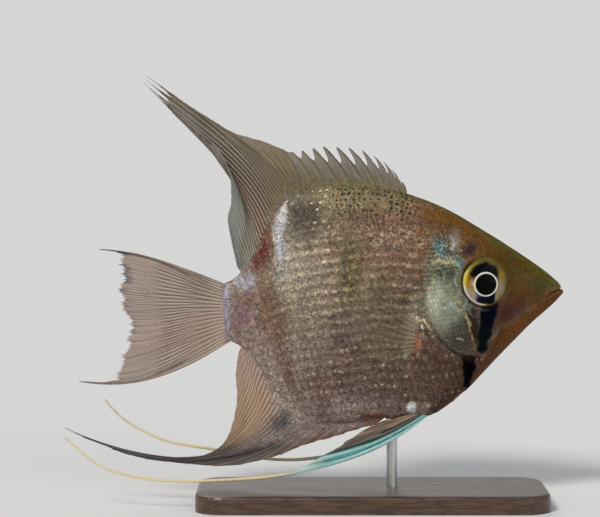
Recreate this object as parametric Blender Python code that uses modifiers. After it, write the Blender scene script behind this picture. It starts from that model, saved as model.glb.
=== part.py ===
"""Freshwater angelfish (Pterophyllum scalare): a still, life-size model on a plain display stand.

Metres, +Z up. The snout points along +X and the fish's right side faces -Y. The origin is the
middle of the stand base's underside. All the sizes below are in millimetres.
"""

import math

import bmesh
import bpy
import numpy as np
from mathutils import Vector
from mathutils.bvhtree import BVHTree

MM = 0.001
GAP = 0.3  # left between neighbouring pieces

# The body, from the lips to the root of the tail fin: the back's x, z, the belly's x, z, and half the width.
STATIONS = (
    (41.5, 49.8, 42.6, 47.4, 1.1),  # lips
    (38.6, 52.3, 39.9, 44.6, 1.8),  # snout
    (33.5, 55.9, 34.5, 39.7, 3.1),  # nostrils
    (25.0, 61.3, 26.5, 31.4, 4.9),  # eyes
    (18.5, 65.1, 20.5, 25.1, 6.0),  # cheeks
    (11.5, 68.3, 13.0, 19.9, 6.7),  # gill openings
    (2.0, 70.8, 3.0, 19.5, 6.6),  # shoulders
    (-7.0, 71.6, -7.0, 18.0, 5.9),  # middle
    (-15.5, 70.9, -14.5, 18.9, 4.7),  # hind part
    (-22.0, 65.6, -21.3, 24.2, 3.4),  # under the soft fins
    (-27.0, 55.5, -26.5, 32.4, 2.3),  # end of the soft fins
    (-30.4, 50.9, -30.0, 35.8, 1.7),  # stalk
    (-33.6, 49.3, -32.6, 36.7, 1.1),  # root of the tail fin
)
LAST = len(STATIONS) - 1
WIDEST = 0.08  # height of the widest point, -1 at the belly and 1 at the back
KEEL = 0.62  # 0.5 makes elliptical sections, and more makes the back and belly sharper
SNOUT_ROUNDING, TAIL_ROUNDING = 0.6, 0.45  # how much of the end stations the rounding takes
BODY_RINGS, BODY_ARCS = 36, 14

# Where the body is parted, as lines of x and z seen from the right side.
GILL_EDGE = (
    (11.0, 76.0), (11.3, 64.7), (10.4, 54.3), (11.2, 47.0),
    (13.8, 39.2), (18.0, 34.4), (23.6, 32.7), (30.0, 29.0),
)  # fmt: skip
JAW_LINE = ((46.0, 50.6), (41.7, 48.6), (35.0, 43.4), (27.8, 39.5), (26.0, 36.5), (24.6, 32.0), (24.2, 20.0))
COVER_FRONT = (
    (11.6, 58.5), (16.5, 56.5), (17.6, 51.0), (18.8, 46.5), (21.0, 41.5), (23.2, 35.2), (23.6, 31.0),
)  # fmt: skip
COVER_BACK = 5.0  # x behind the gill opening
STALK_LINE = ((-26.0, 64.0), (-27.9, 54.0), (-28.4, 46.0), (-27.9, 38.0), (-26.0, 26.0))
COVER_INSIDE = 2.6  # how far from the middle plane a gill cover starts
CUT_REACH = 20.0  # how far sideways the cuts run
FRONT, REAR, TOP, BOTTOM = 50.0, -45.0, 80.0, 10.0  # a box past the body, for the cuts

EYE = (25.0, 3.8, 50.0)
EYE_RADIUS, EYE_DEPTH = 5.6, 2.2
EYE_TURN = 9.0  # degrees towards the snout

# Fins. Base stations run along the back or the belly. Margins are lines of x and z. Angles are degrees in the
# side view: a place along the fin, the direction a ray leaves its root in, the one it reaches the margin in.
ROOT_THICK, EDGE_THICK = 1.25, 0.52
RAY_EXTRA = 0.2  # share of the thickness that only the rays have
DORSAL_BASE = (5.4, 7.95, 10.75)  # first spine, first soft ray, last ray
DORSAL_SPINES = (
    (6.6, 71.9), (4.3, 74.7), (2.4, 76.0), (0.4, 77.0), (-2.0, 78.4), (-5.0, 79.1),
    (-7.7, 79.1), (-10.7, 79.5), (-13.0, 79.1), (-15.4, 78.5), (-17.6, 78.2), (-20.0, 79.4),
)  # fmt: skip
DORSAL_LEAD = ((-20.0, 79.4), (-24.7, 81.3), (-31.3, 83.3), (-38.2, 87.4), (-43.0, 90.6), (-51.2, 95.4))
DORSAL_TRAIL = (
    (-51.2, 95.4), (-44.8, 88.5), (-40.2, 85.3), (-37.1, 81.6), (-33.9, 79.2),
    (-31.7, 74.3), (-31.3, 68.0), (-32.0, 64.4), (-31.4, 60.3), (-29.9, 53.6),
)  # fmt: skip
DORSAL_RAYS, DORSAL_LEADERS = 24, 8  # soft rays, and those in front of the streamer's tip
DORSAL_ANGLES = (
    (0.0, 122, 122), (0.17, 120, 146), (0.33, 117, 143),
    (0.58, 106, 126), (0.8, 102, 110), (1.0, 100, 100),
)  # fmt: skip
ANAL_BASE = (6.25, 7.45, 10.75)
ANAL_SPINES = ((-2.2, 17.5), (-5.6, 16.0), (-9.2, 14.8), (-13.0, 13.9), (-16.8, 12.7), (-20.4, 11.1))
ANAL_LEAD = (
    (-20.4, 11.1), (-26.9, 9.4), (-33.0, 8.5), (-41.7, 8.9), (-53.6, 10.6), (-63.0, 14.1), (-69.1, 17.4),
)  # fmt: skip
ANAL_TRAIL = (
    (-69.1, 17.4), (-63.0, 14.6), (-53.6, 11.1), (-42.8, 9.9), (-36.2, 11.2),
    (-33.2, 13.4), (-31.2, 17.5), (-30.1, 23.4), (-30.3, 29.0), (-29.6, 34.0),
)  # fmt: skip
ANAL_RAYS, ANAL_LEADERS = 26, 8
ANAL_ANGLES = (
    (0.0, 215, 215), (0.15, 229, 189), (0.31, 240, 152), (0.46, 248, 163),
    (0.54, 250, 178), (0.62, 252, 212), (0.77, 255, 246), (1.0, 258, 258),
)  # fmt: skip
TAIL_MARGIN = (
    (-60.6, 56.9), (-56.1, 56.0), (-55.5, 51.4), (-55.6, 45.4), (-53.7, 40.6),
    (-54.1, 36.0), (-55.8, 31.2), (-57.4, 27.4), (-65.4, 27.4),
)  # fmt: skip
TAIL_RAYS = 17
TAIL_ANGLES = ((0.0, 160, 178), (0.25, 166, 170), (0.5, 178, 178), (0.75, 196, 192), (1.0, 213, 170))
DORSAL_SWAY, ANAL_SWAY, TAIL_SWAY = -1.6, 0.8, 1.8  # how far each margin bends to the left (+) or right (-)

PELVIC_ROOT = ((11.6, 1.6, 18.8), (7.9, 1.9, 19.3))
PELVIC_INNER = ((2.9, 2.4, 18.3), (-2.3, 3.4, 16.4), (-7.2, 4.8, 13.9), (-12.0, 6.0, 11.6))
PELVIC_RAYS = 6
PELVIC_ANGLES = ((0.0, 217, 189), (0.5, 210, 193), (1.0, 199, 199))
PELVIC_THICK = 0.9
PECTORAL_ROOT = ((10.3, 40.7), (9.4, 34.8))
PECTORAL_MARGIN = ((-0.3, 54.9), (-3.8, 49.9), (-5.2, 44.2), (-4.1, 38.7), (-1.1, 34.3), (2.6, 32.5))
PECTORAL_RAYS = 11
PECTORAL_ANGLES = ((0.0, 136, 122), (0.5, 178, 172), (1.0, 212, 200))
PECTORAL_THICK = 0.75
PECTORAL_SPREAD = 2.4  # how far the margin stands off the flank

# The left side is +Y. Pelvic tips and filaments are x, distance from the middle plane and z.
SIDES = {"right": -1, "left": 1}
PELVIC_TIP = {"right": (-16.6, 6.9, 8.3), "left": (-11.5, 6.5, 9.6)}
FILAMENTS = {
    "right": (
        (-17.1, 7.0, 8.2), (-23.0, 7.6, 7.5), (-30.0, 8.0, 6.8), (-39.0, 8.3, 6.5), (-48.3, 8.2, 6.8),
        (-56.0, 7.7, 8.2), (-61.5, 7.2, 10.6), (-67.9, 6.3, 15.9),
    ),
    "left": (
        (-12.0, 6.6, 9.5), (-17.5, 7.2, 9.0), (-25.0, 7.9, 9.3), (-34.4, 8.5, 11.0), (-45.2, 9.2, 12.7),
        (-51.3, 9.4, 15.1), (-56.3, 9.5, 18.1), (-60.6, 9.5, 22.6),
    ),
}  # fmt: skip
FILAMENT_RADII = (0.42, 0.27)  # at the root and at the tip
FILAMENT_STEPS = 24

BASE_LENGTH, BASE_WIDTH, BASE_HEIGHT = 78.0, 30.0, 4.0
BASE_CORNER, BASE_CHAMFER = 6.0, 0.7
ROD_X, ROD_RADIUS = 4.5, 1.2
ROD_BOTTOM, ROD_TOP = 1.3, 23.5
BASE_HOLE_PLAY = 0.1

# Colour, roughness and metallic value of each sub-part.
PAINTS = {
    "head": ((0.12, 0.085, 0.04), 0.42, 0.0),
    "lower_jaw": ((0.10, 0.055, 0.02), 0.42, 0.0),
    "gill_cover": ((0.17, 0.17, 0.12), 0.32, 0.1),
    "trunk": ((0.19, 0.135, 0.09), 0.4, 0.0),
    "tail_stalk": ((0.21, 0.14, 0.13), 0.4, 0.0),
    "dorsal_fin_spiny": ((0.21, 0.17, 0.12), 0.5, 0.0),
    "dorsal_fin_soft": ((0.14, 0.115, 0.085), 0.5, 0.0),
    "anal_fin_spiny": ((0.13, 0.10, 0.08), 0.5, 0.0),
    "anal_fin_soft": ((0.2, 0.14, 0.1), 0.5, 0.0),
    "tail_fin": ((0.3, 0.24, 0.2), 0.5, 0.0),
    "pectoral_fin": ((0.3, 0.26, 0.2), 0.4, 0.0),
    "pelvic_fin": ((0.18, 0.28, 0.26), 0.4, 0.0),
    "pelvic_filament": ((0.54, 0.44, 0.29), 0.45, 0.0),
    "eye": ((0.3, 0.22, 0.06), 0.08, 0.0),
    "stand_base": ((0.09, 0.045, 0.022), 0.4, 0.0),
    "stand_rod": ((0.6, 0.6, 0.58), 0.3, 1.0),
}


def along(rows, place):
    """The smooth curve through rows, read at these places, where 0 is the first row."""
    rows = np.asarray(rows, float)
    place = np.clip(np.asarray(place, float), 0, len(rows) - 1)
    start = np.minimum(place.astype(int), len(rows) - 2)
    t = (place - start)[..., None]
    before, here, there, after = (rows[np.clip(start + step, 0, len(rows) - 1)] for step in (-1, 0, 1, 2))
    slopes = (there - before) / 2, (after - here) / 2
    return (
        (2 * t**3 - 3 * t**2 + 1) * here
        + (t**3 - 2 * t**2 + t) * slopes[0]
        + (3 * t**2 - 2 * t**3) * there
        + (t**3 - t**2) * slopes[1]
    )


def rounding(station):
    """1 along the body, and down to 0 at both its ends, as a quarter of a circle."""
    inwards = np.minimum(station / SNOUT_ROUNDING, (LAST - station) / TAIL_ROUNDING)
    return np.sqrt(1 - (1 - np.clip(inwards, 0, 1)) ** 2)


def skin_point(station, height):
    """The left side's skin: x, y and z at a station and a height from -1, the belly, to 1, the back."""
    rows = along(STATIONS, station)
    share = (height[..., None] + 1) / 2
    side_view = rows[..., 2:4] * (1 - share) + rows[..., 0:2] * share
    from_widest = height - WIDEST
    from_widest = from_widest / np.where(from_widest < 0, 1 + WIDEST, 1 - WIDEST)
    width = rows[..., 4] * rounding(station) * (1 - np.minimum(from_widest**2, 1)) ** KEEL
    return np.stack([side_view[..., 0], width, side_view[..., 1]], -1)


def ridge(station, side):
    """The back's line (side 1) or the belly's (side -1), and its outward normals, in the side view."""
    columns = slice(0, 2) if side > 0 else slice(2, 4)
    step = 0.02
    forward = along(STATIONS, station - step)[..., columns] - along(STATIONS, station + step)[..., columns]
    forward = forward / np.linalg.norm(forward, axis=-1, keepdims=True)
    outward = np.stack([-forward[..., 1], forward[..., 0]], -1) * side
    return along(STATIONS, station)[..., columns], outward


def grid_mesh(name, points):
    """A mesh of quads on a grid of points. At each corner the quad is halved from the corner inwards."""
    columns, rows = points.shape[:2]
    number = np.arange(columns * rows).reshape(columns, rows)
    faces = []
    for i in range(columns - 1):
        for j in range(rows - 1):
            quad = [number[i, j], number[i + 1, j], number[i + 1, j + 1], number[i, j + 1]]
            quad = [int(corner) for corner in quad]
            if i in (0, columns - 2) and j in (0, rows - 2):
                corner = (0 if i == 0 else 1) if j == 0 else (3 if i == 0 else 2)
                quad = quad[corner:] + quad[:corner]
                faces += [quad[:3], [quad[0], quad[2], quad[3]]]
            else:
                faces.append(quad)
    mesh = bpy.data.meshes.new(name)
    mesh.from_pydata((points.reshape(-1, 3) * MM).tolist(), [], faces)
    mesh.shade_smooth()
    return mesh


def add_object(name, data, collection):
    obj = bpy.data.objects.new(name, data)
    collection.objects.link(obj)
    return obj


def paint(obj, kind):
    colour, roughness, metallic = PAINTS[kind]
    material = bpy.data.materials.new(obj.name)
    material.use_nodes = True
    shader = material.node_tree.nodes["Principled BSDF"]
    shader.inputs["Base Color"].default_value = (*colour, 1)
    shader.inputs["Roughness"].default_value = roughness
    shader.inputs["Metallic"].default_value = metallic
    obj.data.materials.clear()
    obj.data.materials.append(material)


def as_cutter(obj):
    obj.hide_render = True
    obj.display_type = "WIRE"
    return obj


def boolean(obj, operation, cutter):
    modifier = obj.modifiers.new(cutter.name, "BOOLEAN")
    modifier.operation = operation
    modifier.solver = "EXACT"
    modifier.object = cutter


def shifted(line, distance):
    """A line of x and z moved sideways: to the left of its direction if the distance is positive."""
    line = np.asarray(line, float)
    direction = np.gradient(line, axis=0)
    direction /= np.linalg.norm(direction, axis=1, keepdims=True)
    return line + distance * np.stack([-direction[:, 1], direction[:, 0]], 1)


def prism(name, outline, near, far, collection):
    """A cutter: an outline in the side view, drawn out from y = near to y = far."""
    shape = bmesh.new()
    face = shape.faces.new([shape.verts.new((x * MM, near * MM, z * MM)) for x, z in outline])
    drawn = bmesh.ops.extrude_face_region(shape, geom=[face])
    moved = [item for item in drawn["geom"] if isinstance(item, bmesh.types.BMVert)]
    bmesh.ops.translate(shape, vec=(0, (far - near) * MM, 0), verts=moved)
    bmesh.ops.recalc_face_normals(shape, faces=shape.faces)
    mesh = bpy.data.meshes.new(name)
    shape.to_mesh(mesh)
    shape.free()
    return as_cutter(add_object(name, mesh, collection))


def cylinder(name, radius, bottom, top, collection):
    """A round bar that stands on the middle plane at the rod's place."""
    middle = (ROD_X * MM, 0, (bottom + top) / 2 * MM)
    bpy.ops.mesh.primitive_cylinder_add(
        vertices=32, radius=radius * MM, depth=(top - bottom) * MM, location=middle
    )
    return placed(name, collection)


def placed(name, collection):
    """Names the object that a primitive operator has just made, and moves it to a collection."""
    obj = bpy.context.object
    obj.name = obj.data.name = name
    for old in list(obj.users_collection):
        old.objects.unlink(obj)
    collection.objects.link(obj)
    return obj


def body_mesh():
    """The right side's skin as an open half: a Mirror modifier closes it."""
    t = np.linspace(0, 1, BODY_RINGS + 1)
    station = LAST * (t - 0.6 * np.sin(2 * math.pi * t) / (2 * math.pi))
    height = -np.cos(math.pi * np.arange(BODY_ARCS + 1) / BODY_ARCS)
    points = skin_point(*np.meshgrid(station, height, indexing="ij"))
    points[..., 1] *= -1
    points[[0, -1], :, 1] = 0
    points[:, [0, -1], 1] = 0
    return grid_mesh("body", points)


def body_piece(name, kind, mesh, fish):
    obj = add_object(name, mesh.copy(), fish)
    mirror = obj.modifiers.new("Mirror", "MIRROR")
    mirror.use_axis = (False, True, False)
    mirror.use_clip = True
    mirror.merge_threshold = 0.00001
    paint(obj, kind)
    return obj


def eye_shape(name, side, grow, collection):
    """A flattened ball that faces sideways and a little forward."""
    bpy.ops.mesh.primitive_uv_sphere_add(segments=20, ring_count=12, radius=MM)
    obj = placed(name, collection)
    obj.data.transform(obj.matrix_world)
    for vertex in obj.data.vertices:
        x, y, z = vertex.co
        vertex.co = (x * (EYE_RADIUS + grow), z * (EYE_DEPTH + grow), -y * (EYE_RADIUS + grow))
    obj.data.shade_smooth()
    obj.location = (EYE[0] * MM, side * EYE[1] * MM, EYE[2] * MM)
    obj.rotation_euler = (0, 0, math.radians(-side * EYE_TURN))
    return obj


def make_body(fish, cutters):
    mesh = body_mesh()
    half = GAP / 2
    head_box = [(FRONT, GILL_EDGE[-1][1]), (FRONT, TOP)]
    head_side = prism("head_side", [*shifted(GILL_EDGE, half), *head_box], -CUT_REACH, CUT_REACH, cutters)
    trunk_cut = prism("trunk_cut", [*shifted(GILL_EDGE, -half), *head_box], -CUT_REACH, CUT_REACH, cutters)
    jaw_box = [(FRONT, BOTTOM), (FRONT, JAW_LINE[0][1])]
    jaw_side = prism("jaw_side", [*shifted(JAW_LINE, half), *jaw_box], -CUT_REACH, CUT_REACH, cutters)
    jaw_cut = prism("jaw_cut", [*shifted(JAW_LINE, -half), *jaw_box], -CUT_REACH, CUT_REACH, cutters)
    rear_box = [(REAR, BOTTOM), (REAR, TOP)]
    stalk_side = prism("stalk_side", [*shifted(STALK_LINE, -half), *rear_box], -CUT_REACH, CUT_REACH, cutters)
    stalk_cut = prism("stalk_cut", [*shifted(STALK_LINE, half), *rear_box], -CUT_REACH, CUT_REACH, cutters)

    head = body_piece("head", "head", mesh, fish)
    boolean(head, "INTERSECT", head_side)
    boolean(head, "DIFFERENCE", jaw_cut)
    jaw = body_piece("lower_jaw", "lower_jaw", mesh, fish)
    boolean(jaw, "INTERSECT", head_side)
    boolean(jaw, "INTERSECT", jaw_side)
    for word, side in SIDES.items():
        cover_box = [(COVER_BACK, COVER_FRONT[-1][1]), (COVER_BACK, COVER_FRONT[0][1] + half)]
        inside, outside = side * (COVER_INSIDE + half), side * CUT_REACH
        outline = [*shifted(COVER_FRONT, -half), *cover_box]
        cover_side = prism("cover_side_" + word, outline, inside, outside, cutters)
        outline = [*shifted(COVER_FRONT, half), *cover_box]
        cover_cut = prism("cover_cut_" + word, outline, side * (COVER_INSIDE - half), outside, cutters)
        cover = body_piece("gill_cover_" + word, "gill_cover", mesh, fish)
        boolean(cover, "INTERSECT", head_side)
        boolean(cover, "INTERSECT", cover_side)
        boolean(head, "DIFFERENCE", cover_cut)
        socket = as_cutter(eye_shape("socket_" + word, side, GAP, cutters))
        boolean(head, "DIFFERENCE", socket)
        paint(eye_shape("eye_" + word, side, 0, fish), "eye")

    trunk = body_piece("trunk", "trunk", mesh, fish)
    boolean(trunk, "DIFFERENCE", trunk_cut)
    boolean(trunk, "DIFFERENCE", stalk_cut)
    hole = as_cutter(cylinder("rod_hole", ROD_RADIUS + GAP, BOTTOM, ROD_TOP + GAP, cutters))
    boolean(trunk, "DIFFERENCE", hole)
    stalk = body_piece("tail_stalk", "tail_stalk", mesh, fish)
    boolean(stalk, "INTERSECT", stalk_side)
    return mesh


def ray_fan(bases, tips, angles, rows, reach=0.38):
    """A curve for each column in the side view, that leaves its base and reaches its tip at angles."""
    bases, tips = np.asarray(bases, float), np.asarray(tips, float)
    share = np.linspace(0, 1, len(bases))
    places, leave, arrive = np.asarray(angles, float).T
    chord = np.linalg.norm(tips - bases, axis=1, keepdims=True)
    handles = []
    for degrees in (leave, arrive):
        turned = np.radians(np.interp(share, places, degrees))
        handles.append(reach * chord * np.stack([np.cos(turned), np.sin(turned)], 1))
    t = np.linspace(0, 1, rows)[None, :, None]
    first, second = (bases + handles[0])[:, None], (tips - handles[1])[:, None]
    ends = (1 - t) ** 3 * bases[:, None] + t**3 * tips[:, None]
    return ends + 3 * (1 - t) ** 2 * t * first + 3 * (1 - t) * t**2 * second


def fin(name, kind, points, ray_columns, fish, root_thick=ROOT_THICK):
    """A fin: a sheet of rays, thickest at its root and along the rays."""
    columns, rows = points.shape[:2]
    obj = add_object(name, grid_mesh(name, points), fish)
    group = obj.vertex_groups.new(name="thickness")
    for i in range(columns):
        for j in range(rows):
            weight = (1 - RAY_EXTRA) * (1 - j / (rows - 1)) + RAY_EXTRA * (i in ray_columns)
            group.add([i * rows + j], weight, "REPLACE")
    solidify = obj.modifiers.new("Solidify", "SOLIDIFY")
    solidify.thickness = root_thick * MM
    solidify.offset = 0
    solidify.vertex_group = group.name
    solidify.thickness_vertex_group = EDGE_THICK / root_thick
    solidify.use_rim = True
    paint(obj, kind)
    return obj


def swayed(side_view, sway):
    """Points of the side view on the middle plane, bent sideways towards the margin."""
    t = np.linspace(0, 1, side_view.shape[1])[None, :]
    y = np.broadcast_to(sway * t**2, side_view.shape[:2])
    return np.stack([side_view[..., 0], y, side_view[..., 1]], -1)


def fin_base(first, last, count, side):
    line, outward = ridge(np.linspace(first, last, count), side)
    return line + GAP * outward


def spiny_fin(name, side, stations, tips, sway, fish):
    """Spines in the even columns, and between them the membrane, cut down between the tips."""
    count = 2 * len(tips) - 1
    bases = fin_base(*stations, count, side)
    tops = along(tips, np.arange(count) / 2)
    lower = 0.14 * (np.arange(count) % 2)[:, None]
    tops += (bases - tops) * lower
    points = swayed(np.stack([bases, (bases + tops) / 2, tops], 1), sway)
    points[-1, :, 0] += GAP
    fin(name, name, points, range(0, count, 2), fish)


def soft_fin(name, side, stations, lead, trail, rays, leaders, angles, sway, rows, fish):
    bases = fin_base(*stations, rays + 1, side)
    front = along(lead, np.linspace(0, len(lead) - 1, leaders + 1))
    back = along(trail, np.linspace(0, len(trail) - 1, rays - leaders + 1))
    side_view = ray_fan(bases, [*front, *back[1:]], angles, rows)
    points = swayed(side_view, sway)
    points[0, :, 0] -= GAP
    fin(name, name, points, range(0, rays + 1, 2), fish)


def tail_fin(fish):
    count = 2 * TAIL_RAYS - 1
    upper, lower = np.array(STATIONS[-1][0:2]), np.array(STATIONS[-1][2:4])
    share = np.linspace(0, 1, count)[:, None]
    bases = upper * (1 - share) + lower * share
    bases[:, 0] -= GAP
    tips = along(TAIL_MARGIN, np.linspace(0, len(TAIL_MARGIN) - 1, count))
    points = swayed(ray_fan(bases, tips, TAIL_ANGLES, 6), TAIL_SWAY)
    fin("tail_fin", "tail_fin", points, range(0, count, 2), fish)


def pelvic_fin(word, side, fish):
    count = 2 * PELVIC_RAYS - 1
    share = np.linspace(0, 1, count)
    root = along(PELVIC_ROOT, share)
    inner = along((PELVIC_TIP[word], *PELVIC_INNER[::-1]), share * len(PELVIC_INNER))
    side_view = ray_fan(root[:, [0, 2]], inner[:, [0, 2]], PELVIC_ANGLES, 6)
    t = np.linspace(0, 1, side_view.shape[1])
    y = side * (root[:, 1:2] + (inner[:, 1:2] - root[:, 1:2]) * t)
    points = np.stack([side_view[..., 0], y, side_view[..., 1]], -1)
    fin("pelvic_fin_" + word, "pelvic_fin", points, range(0, count, 2), fish, PELVIC_THICK)


def pectoral_fin(word, side, flank, fish):
    """A clear fan that starts on the flank behind the gill cover, and stands off it towards the margin."""
    count = 2 * PECTORAL_RAYS - 1
    root = along(PECTORAL_ROOT, np.linspace(0, 1, count))
    tips = along(PECTORAL_MARGIN, np.linspace(0, len(PECTORAL_MARGIN) - 1, count))
    side_view = ray_fan(root, tips, PECTORAL_ANGLES, 5)
    points = np.stack([side_view[..., 0], np.zeros(side_view.shape[:2]), side_view[..., 1]], -1)
    clear = GAP + PECTORAL_THICK / 2
    for column in points:
        starts = flank(column[0, 0], column[0, 2])
        for share, point in zip(np.linspace(0, 1, len(column)), column):
            held = starts + (flank(point[0], point[2]) - starts) * share
            point[1] = side * (max(held, flank(point[0], point[2])) + clear + PECTORAL_SPREAD * share**1.5)
    fin("pectoral_fin_" + word, "pectoral_fin", points, range(0, count, 2), fish, PECTORAL_THICK)


def filament(word, side, fish):
    """The pelvic fin's long thread: a thin tube on a smooth route, thinner towards its tip."""
    name = "pelvic_filament_" + word
    curve = bpy.data.curves.new(name, "CURVE")
    curve.dimensions = "3D"
    curve.bevel_depth = FILAMENT_RADII[0] * MM
    curve.bevel_resolution = 2
    curve.use_fill_caps = True
    route = FILAMENTS[word]
    points = along(route, np.linspace(0, len(route) - 1, FILAMENT_STEPS))
    spline = curve.splines.new("POLY")
    spline.points.add(FILAMENT_STEPS - 1)
    thinnest = FILAMENT_RADII[1] / FILAMENT_RADII[0]
    for i, (x, y, z) in enumerate(points):
        spline.points[i].co = (x * MM, side * y * MM, z * MM, 1)
        spline.points[i].radius = 1 + (thinnest - 1) * i / (FILAMENT_STEPS - 1)
    paint(add_object(name, curve, fish), "pelvic_filament")


def make_fins(body, fish):
    """All the fins. The pectoral fins find the flank on the body's right half."""
    tree = BVHTree.FromPolygons([v.co for v in body.vertices], [list(p.vertices) for p in body.polygons])

    def flank(x, z):
        hit = tree.ray_cast(Vector((x * MM, -1, z * MM)), Vector((0, 1, 0)))[0]
        return abs(hit.y) / MM

    spiny_fin("dorsal_fin_spiny", 1, DORSAL_BASE[:2], DORSAL_SPINES, 0, fish)
    spiny_fin("anal_fin_spiny", -1, ANAL_BASE[:2], ANAL_SPINES, 0, fish)
    soft_fin(
        "dorsal_fin_soft", 1, DORSAL_BASE[1:], DORSAL_LEAD, DORSAL_TRAIL,
        DORSAL_RAYS, DORSAL_LEADERS, DORSAL_ANGLES, DORSAL_SWAY, 8, fish,
    )  # fmt: skip
    soft_fin(
        "anal_fin_soft", -1, ANAL_BASE[1:], ANAL_LEAD, ANAL_TRAIL,
        ANAL_RAYS, ANAL_LEADERS, ANAL_ANGLES, ANAL_SWAY, 8, fish,
    )  # fmt: skip
    tail_fin(fish)
    for word, side in SIDES.items():
        pelvic_fin(word, side, fish)
        filament(word, side, fish)
        pectoral_fin(word, side, flank, fish)


def make_stand(fish, cutters):
    bpy.ops.mesh.primitive_cube_add(size=1, location=(0, 0, BASE_HEIGHT / 2 * MM))
    base = placed("stand_base", fish)
    base.scale = (BASE_LENGTH * MM, BASE_WIDTH * MM, BASE_HEIGHT * MM)
    bpy.context.view_layer.update()
    base.data.transform(base.matrix_world)
    base.matrix_world.identity()
    shape = bmesh.new()
    shape.from_mesh(base.data)
    upright = [e for e in shape.edges if abs(e.verts[0].co.z - e.verts[1].co.z) > BASE_HEIGHT / 2 * MM]
    bmesh.ops.bevel(shape, geom=upright, offset=BASE_CORNER * MM, segments=6, profile=0.5, affect="EDGES")
    top = [e for e in shape.edges if min(v.co.z for v in e.verts) > (BASE_HEIGHT - 0.1) * MM]
    bmesh.ops.bevel(shape, geom=top, offset=BASE_CHAMFER * MM, segments=2, profile=0.5, affect="EDGES")
    shape.to_mesh(base.data)
    shape.free()
    boolean(base, "DIFFERENCE", as_cutter(
        cylinder("base_hole", ROD_RADIUS + BASE_HOLE_PLAY, ROD_BOTTOM - GAP, BASE_HEIGHT + 1, cutters)
    ))  # fmt: skip
    paint(base, "stand_base")
    rod = cylinder("stand_rod", ROD_RADIUS, ROD_BOTTOM, ROD_TOP, fish)
    rod.data.shade_smooth()
    rod.data.set_sharp_from_angle(angle=math.radians(40))
    paint(rod, "stand_rod")


def main():
    for obj in list(bpy.data.objects):
        bpy.data.objects.remove(obj, do_unlink=True)
    fish = bpy.data.collections.new("angelfish")
    cutters = bpy.data.collections.new("cutters")
    bpy.context.scene.collection.children.link(fish)
    bpy.context.scene.collection.children.link(cutters)
    body = make_body(fish, cutters)
    make_fins(body, fish)
    make_stand(fish, cutters)
    bpy.data.meshes.remove(body)


main()
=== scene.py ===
"""The looks of the freshwater angelfish and its stand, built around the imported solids.

Lengths are in millimetres until a mesh is made. The body's and the fins' named sizes are those of part.py.
"""

import math

import bpy
import numpy as np
from mathutils import Matrix, Vector


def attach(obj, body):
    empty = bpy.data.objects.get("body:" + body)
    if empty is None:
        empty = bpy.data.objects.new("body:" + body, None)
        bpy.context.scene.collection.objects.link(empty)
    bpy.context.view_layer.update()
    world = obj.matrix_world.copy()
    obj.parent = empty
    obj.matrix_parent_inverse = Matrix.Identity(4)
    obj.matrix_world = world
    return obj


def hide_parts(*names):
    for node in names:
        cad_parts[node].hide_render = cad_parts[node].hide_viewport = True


MM = 0.001
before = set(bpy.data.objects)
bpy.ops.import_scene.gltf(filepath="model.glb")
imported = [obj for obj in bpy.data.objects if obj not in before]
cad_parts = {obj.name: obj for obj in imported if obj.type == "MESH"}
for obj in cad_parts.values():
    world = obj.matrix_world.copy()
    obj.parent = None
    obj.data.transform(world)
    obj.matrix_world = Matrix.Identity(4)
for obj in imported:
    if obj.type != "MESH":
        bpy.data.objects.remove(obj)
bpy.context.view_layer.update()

# ---------------------------------------------------------------- sizes shared with the solids

SIDES = {"right": -1, "left": 1}

# From snout to tail: x and z of the back, x and z of the belly, and the half width.
STATIONS = (
    (41.5, 49.8, 42.6, 47.4, 1.1),
    (38.6, 52.3, 39.9, 44.6, 1.8),
    (33.5, 55.9, 34.5, 39.7, 3.1),
    (25, 61.3, 26.5, 31.4, 4.9),
    (18.5, 65.1, 20.5, 25.1, 6),
    (11.5, 68.3, 13, 19.9, 6.7),
    (2, 70.8, 3, 19.5, 6.6),
    (-7, 71.6, -7, 18, 5.9),
    (-15.5, 70.9, -14.5, 18.9, 4.7),
    (-22, 65.6, -21.3, 24.2, 3.4),
    (-27, 55.5, -26.5, 32.4, 2.3),
    (-30.4, 50.9, -30, 35.8, 1.7),
    (-33.6, 49.3, -32.6, 36.7, 1.1),
)
LAST = len(STATIONS) - 1
WIDEST = 0.08
KEEL = 0.62
SNOUT_ROUNDING, TAIL_ROUNDING = 0.6, 0.45
GILL_EDGE = (
    (10.6, 60.5), (10.4, 54.3), (11.2, 47), (13.8, 39.2), (18, 34.6), (23.2, 33.3), (24.4, 33.2),
)  # fmt: skip

EYE = (24.7, 3.8, 50)
EYE_TURN = 9
EYE_WIDTH, EYE_HEIGHT = 5.1, 5.25  # half sizes of the opening in the skin

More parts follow.
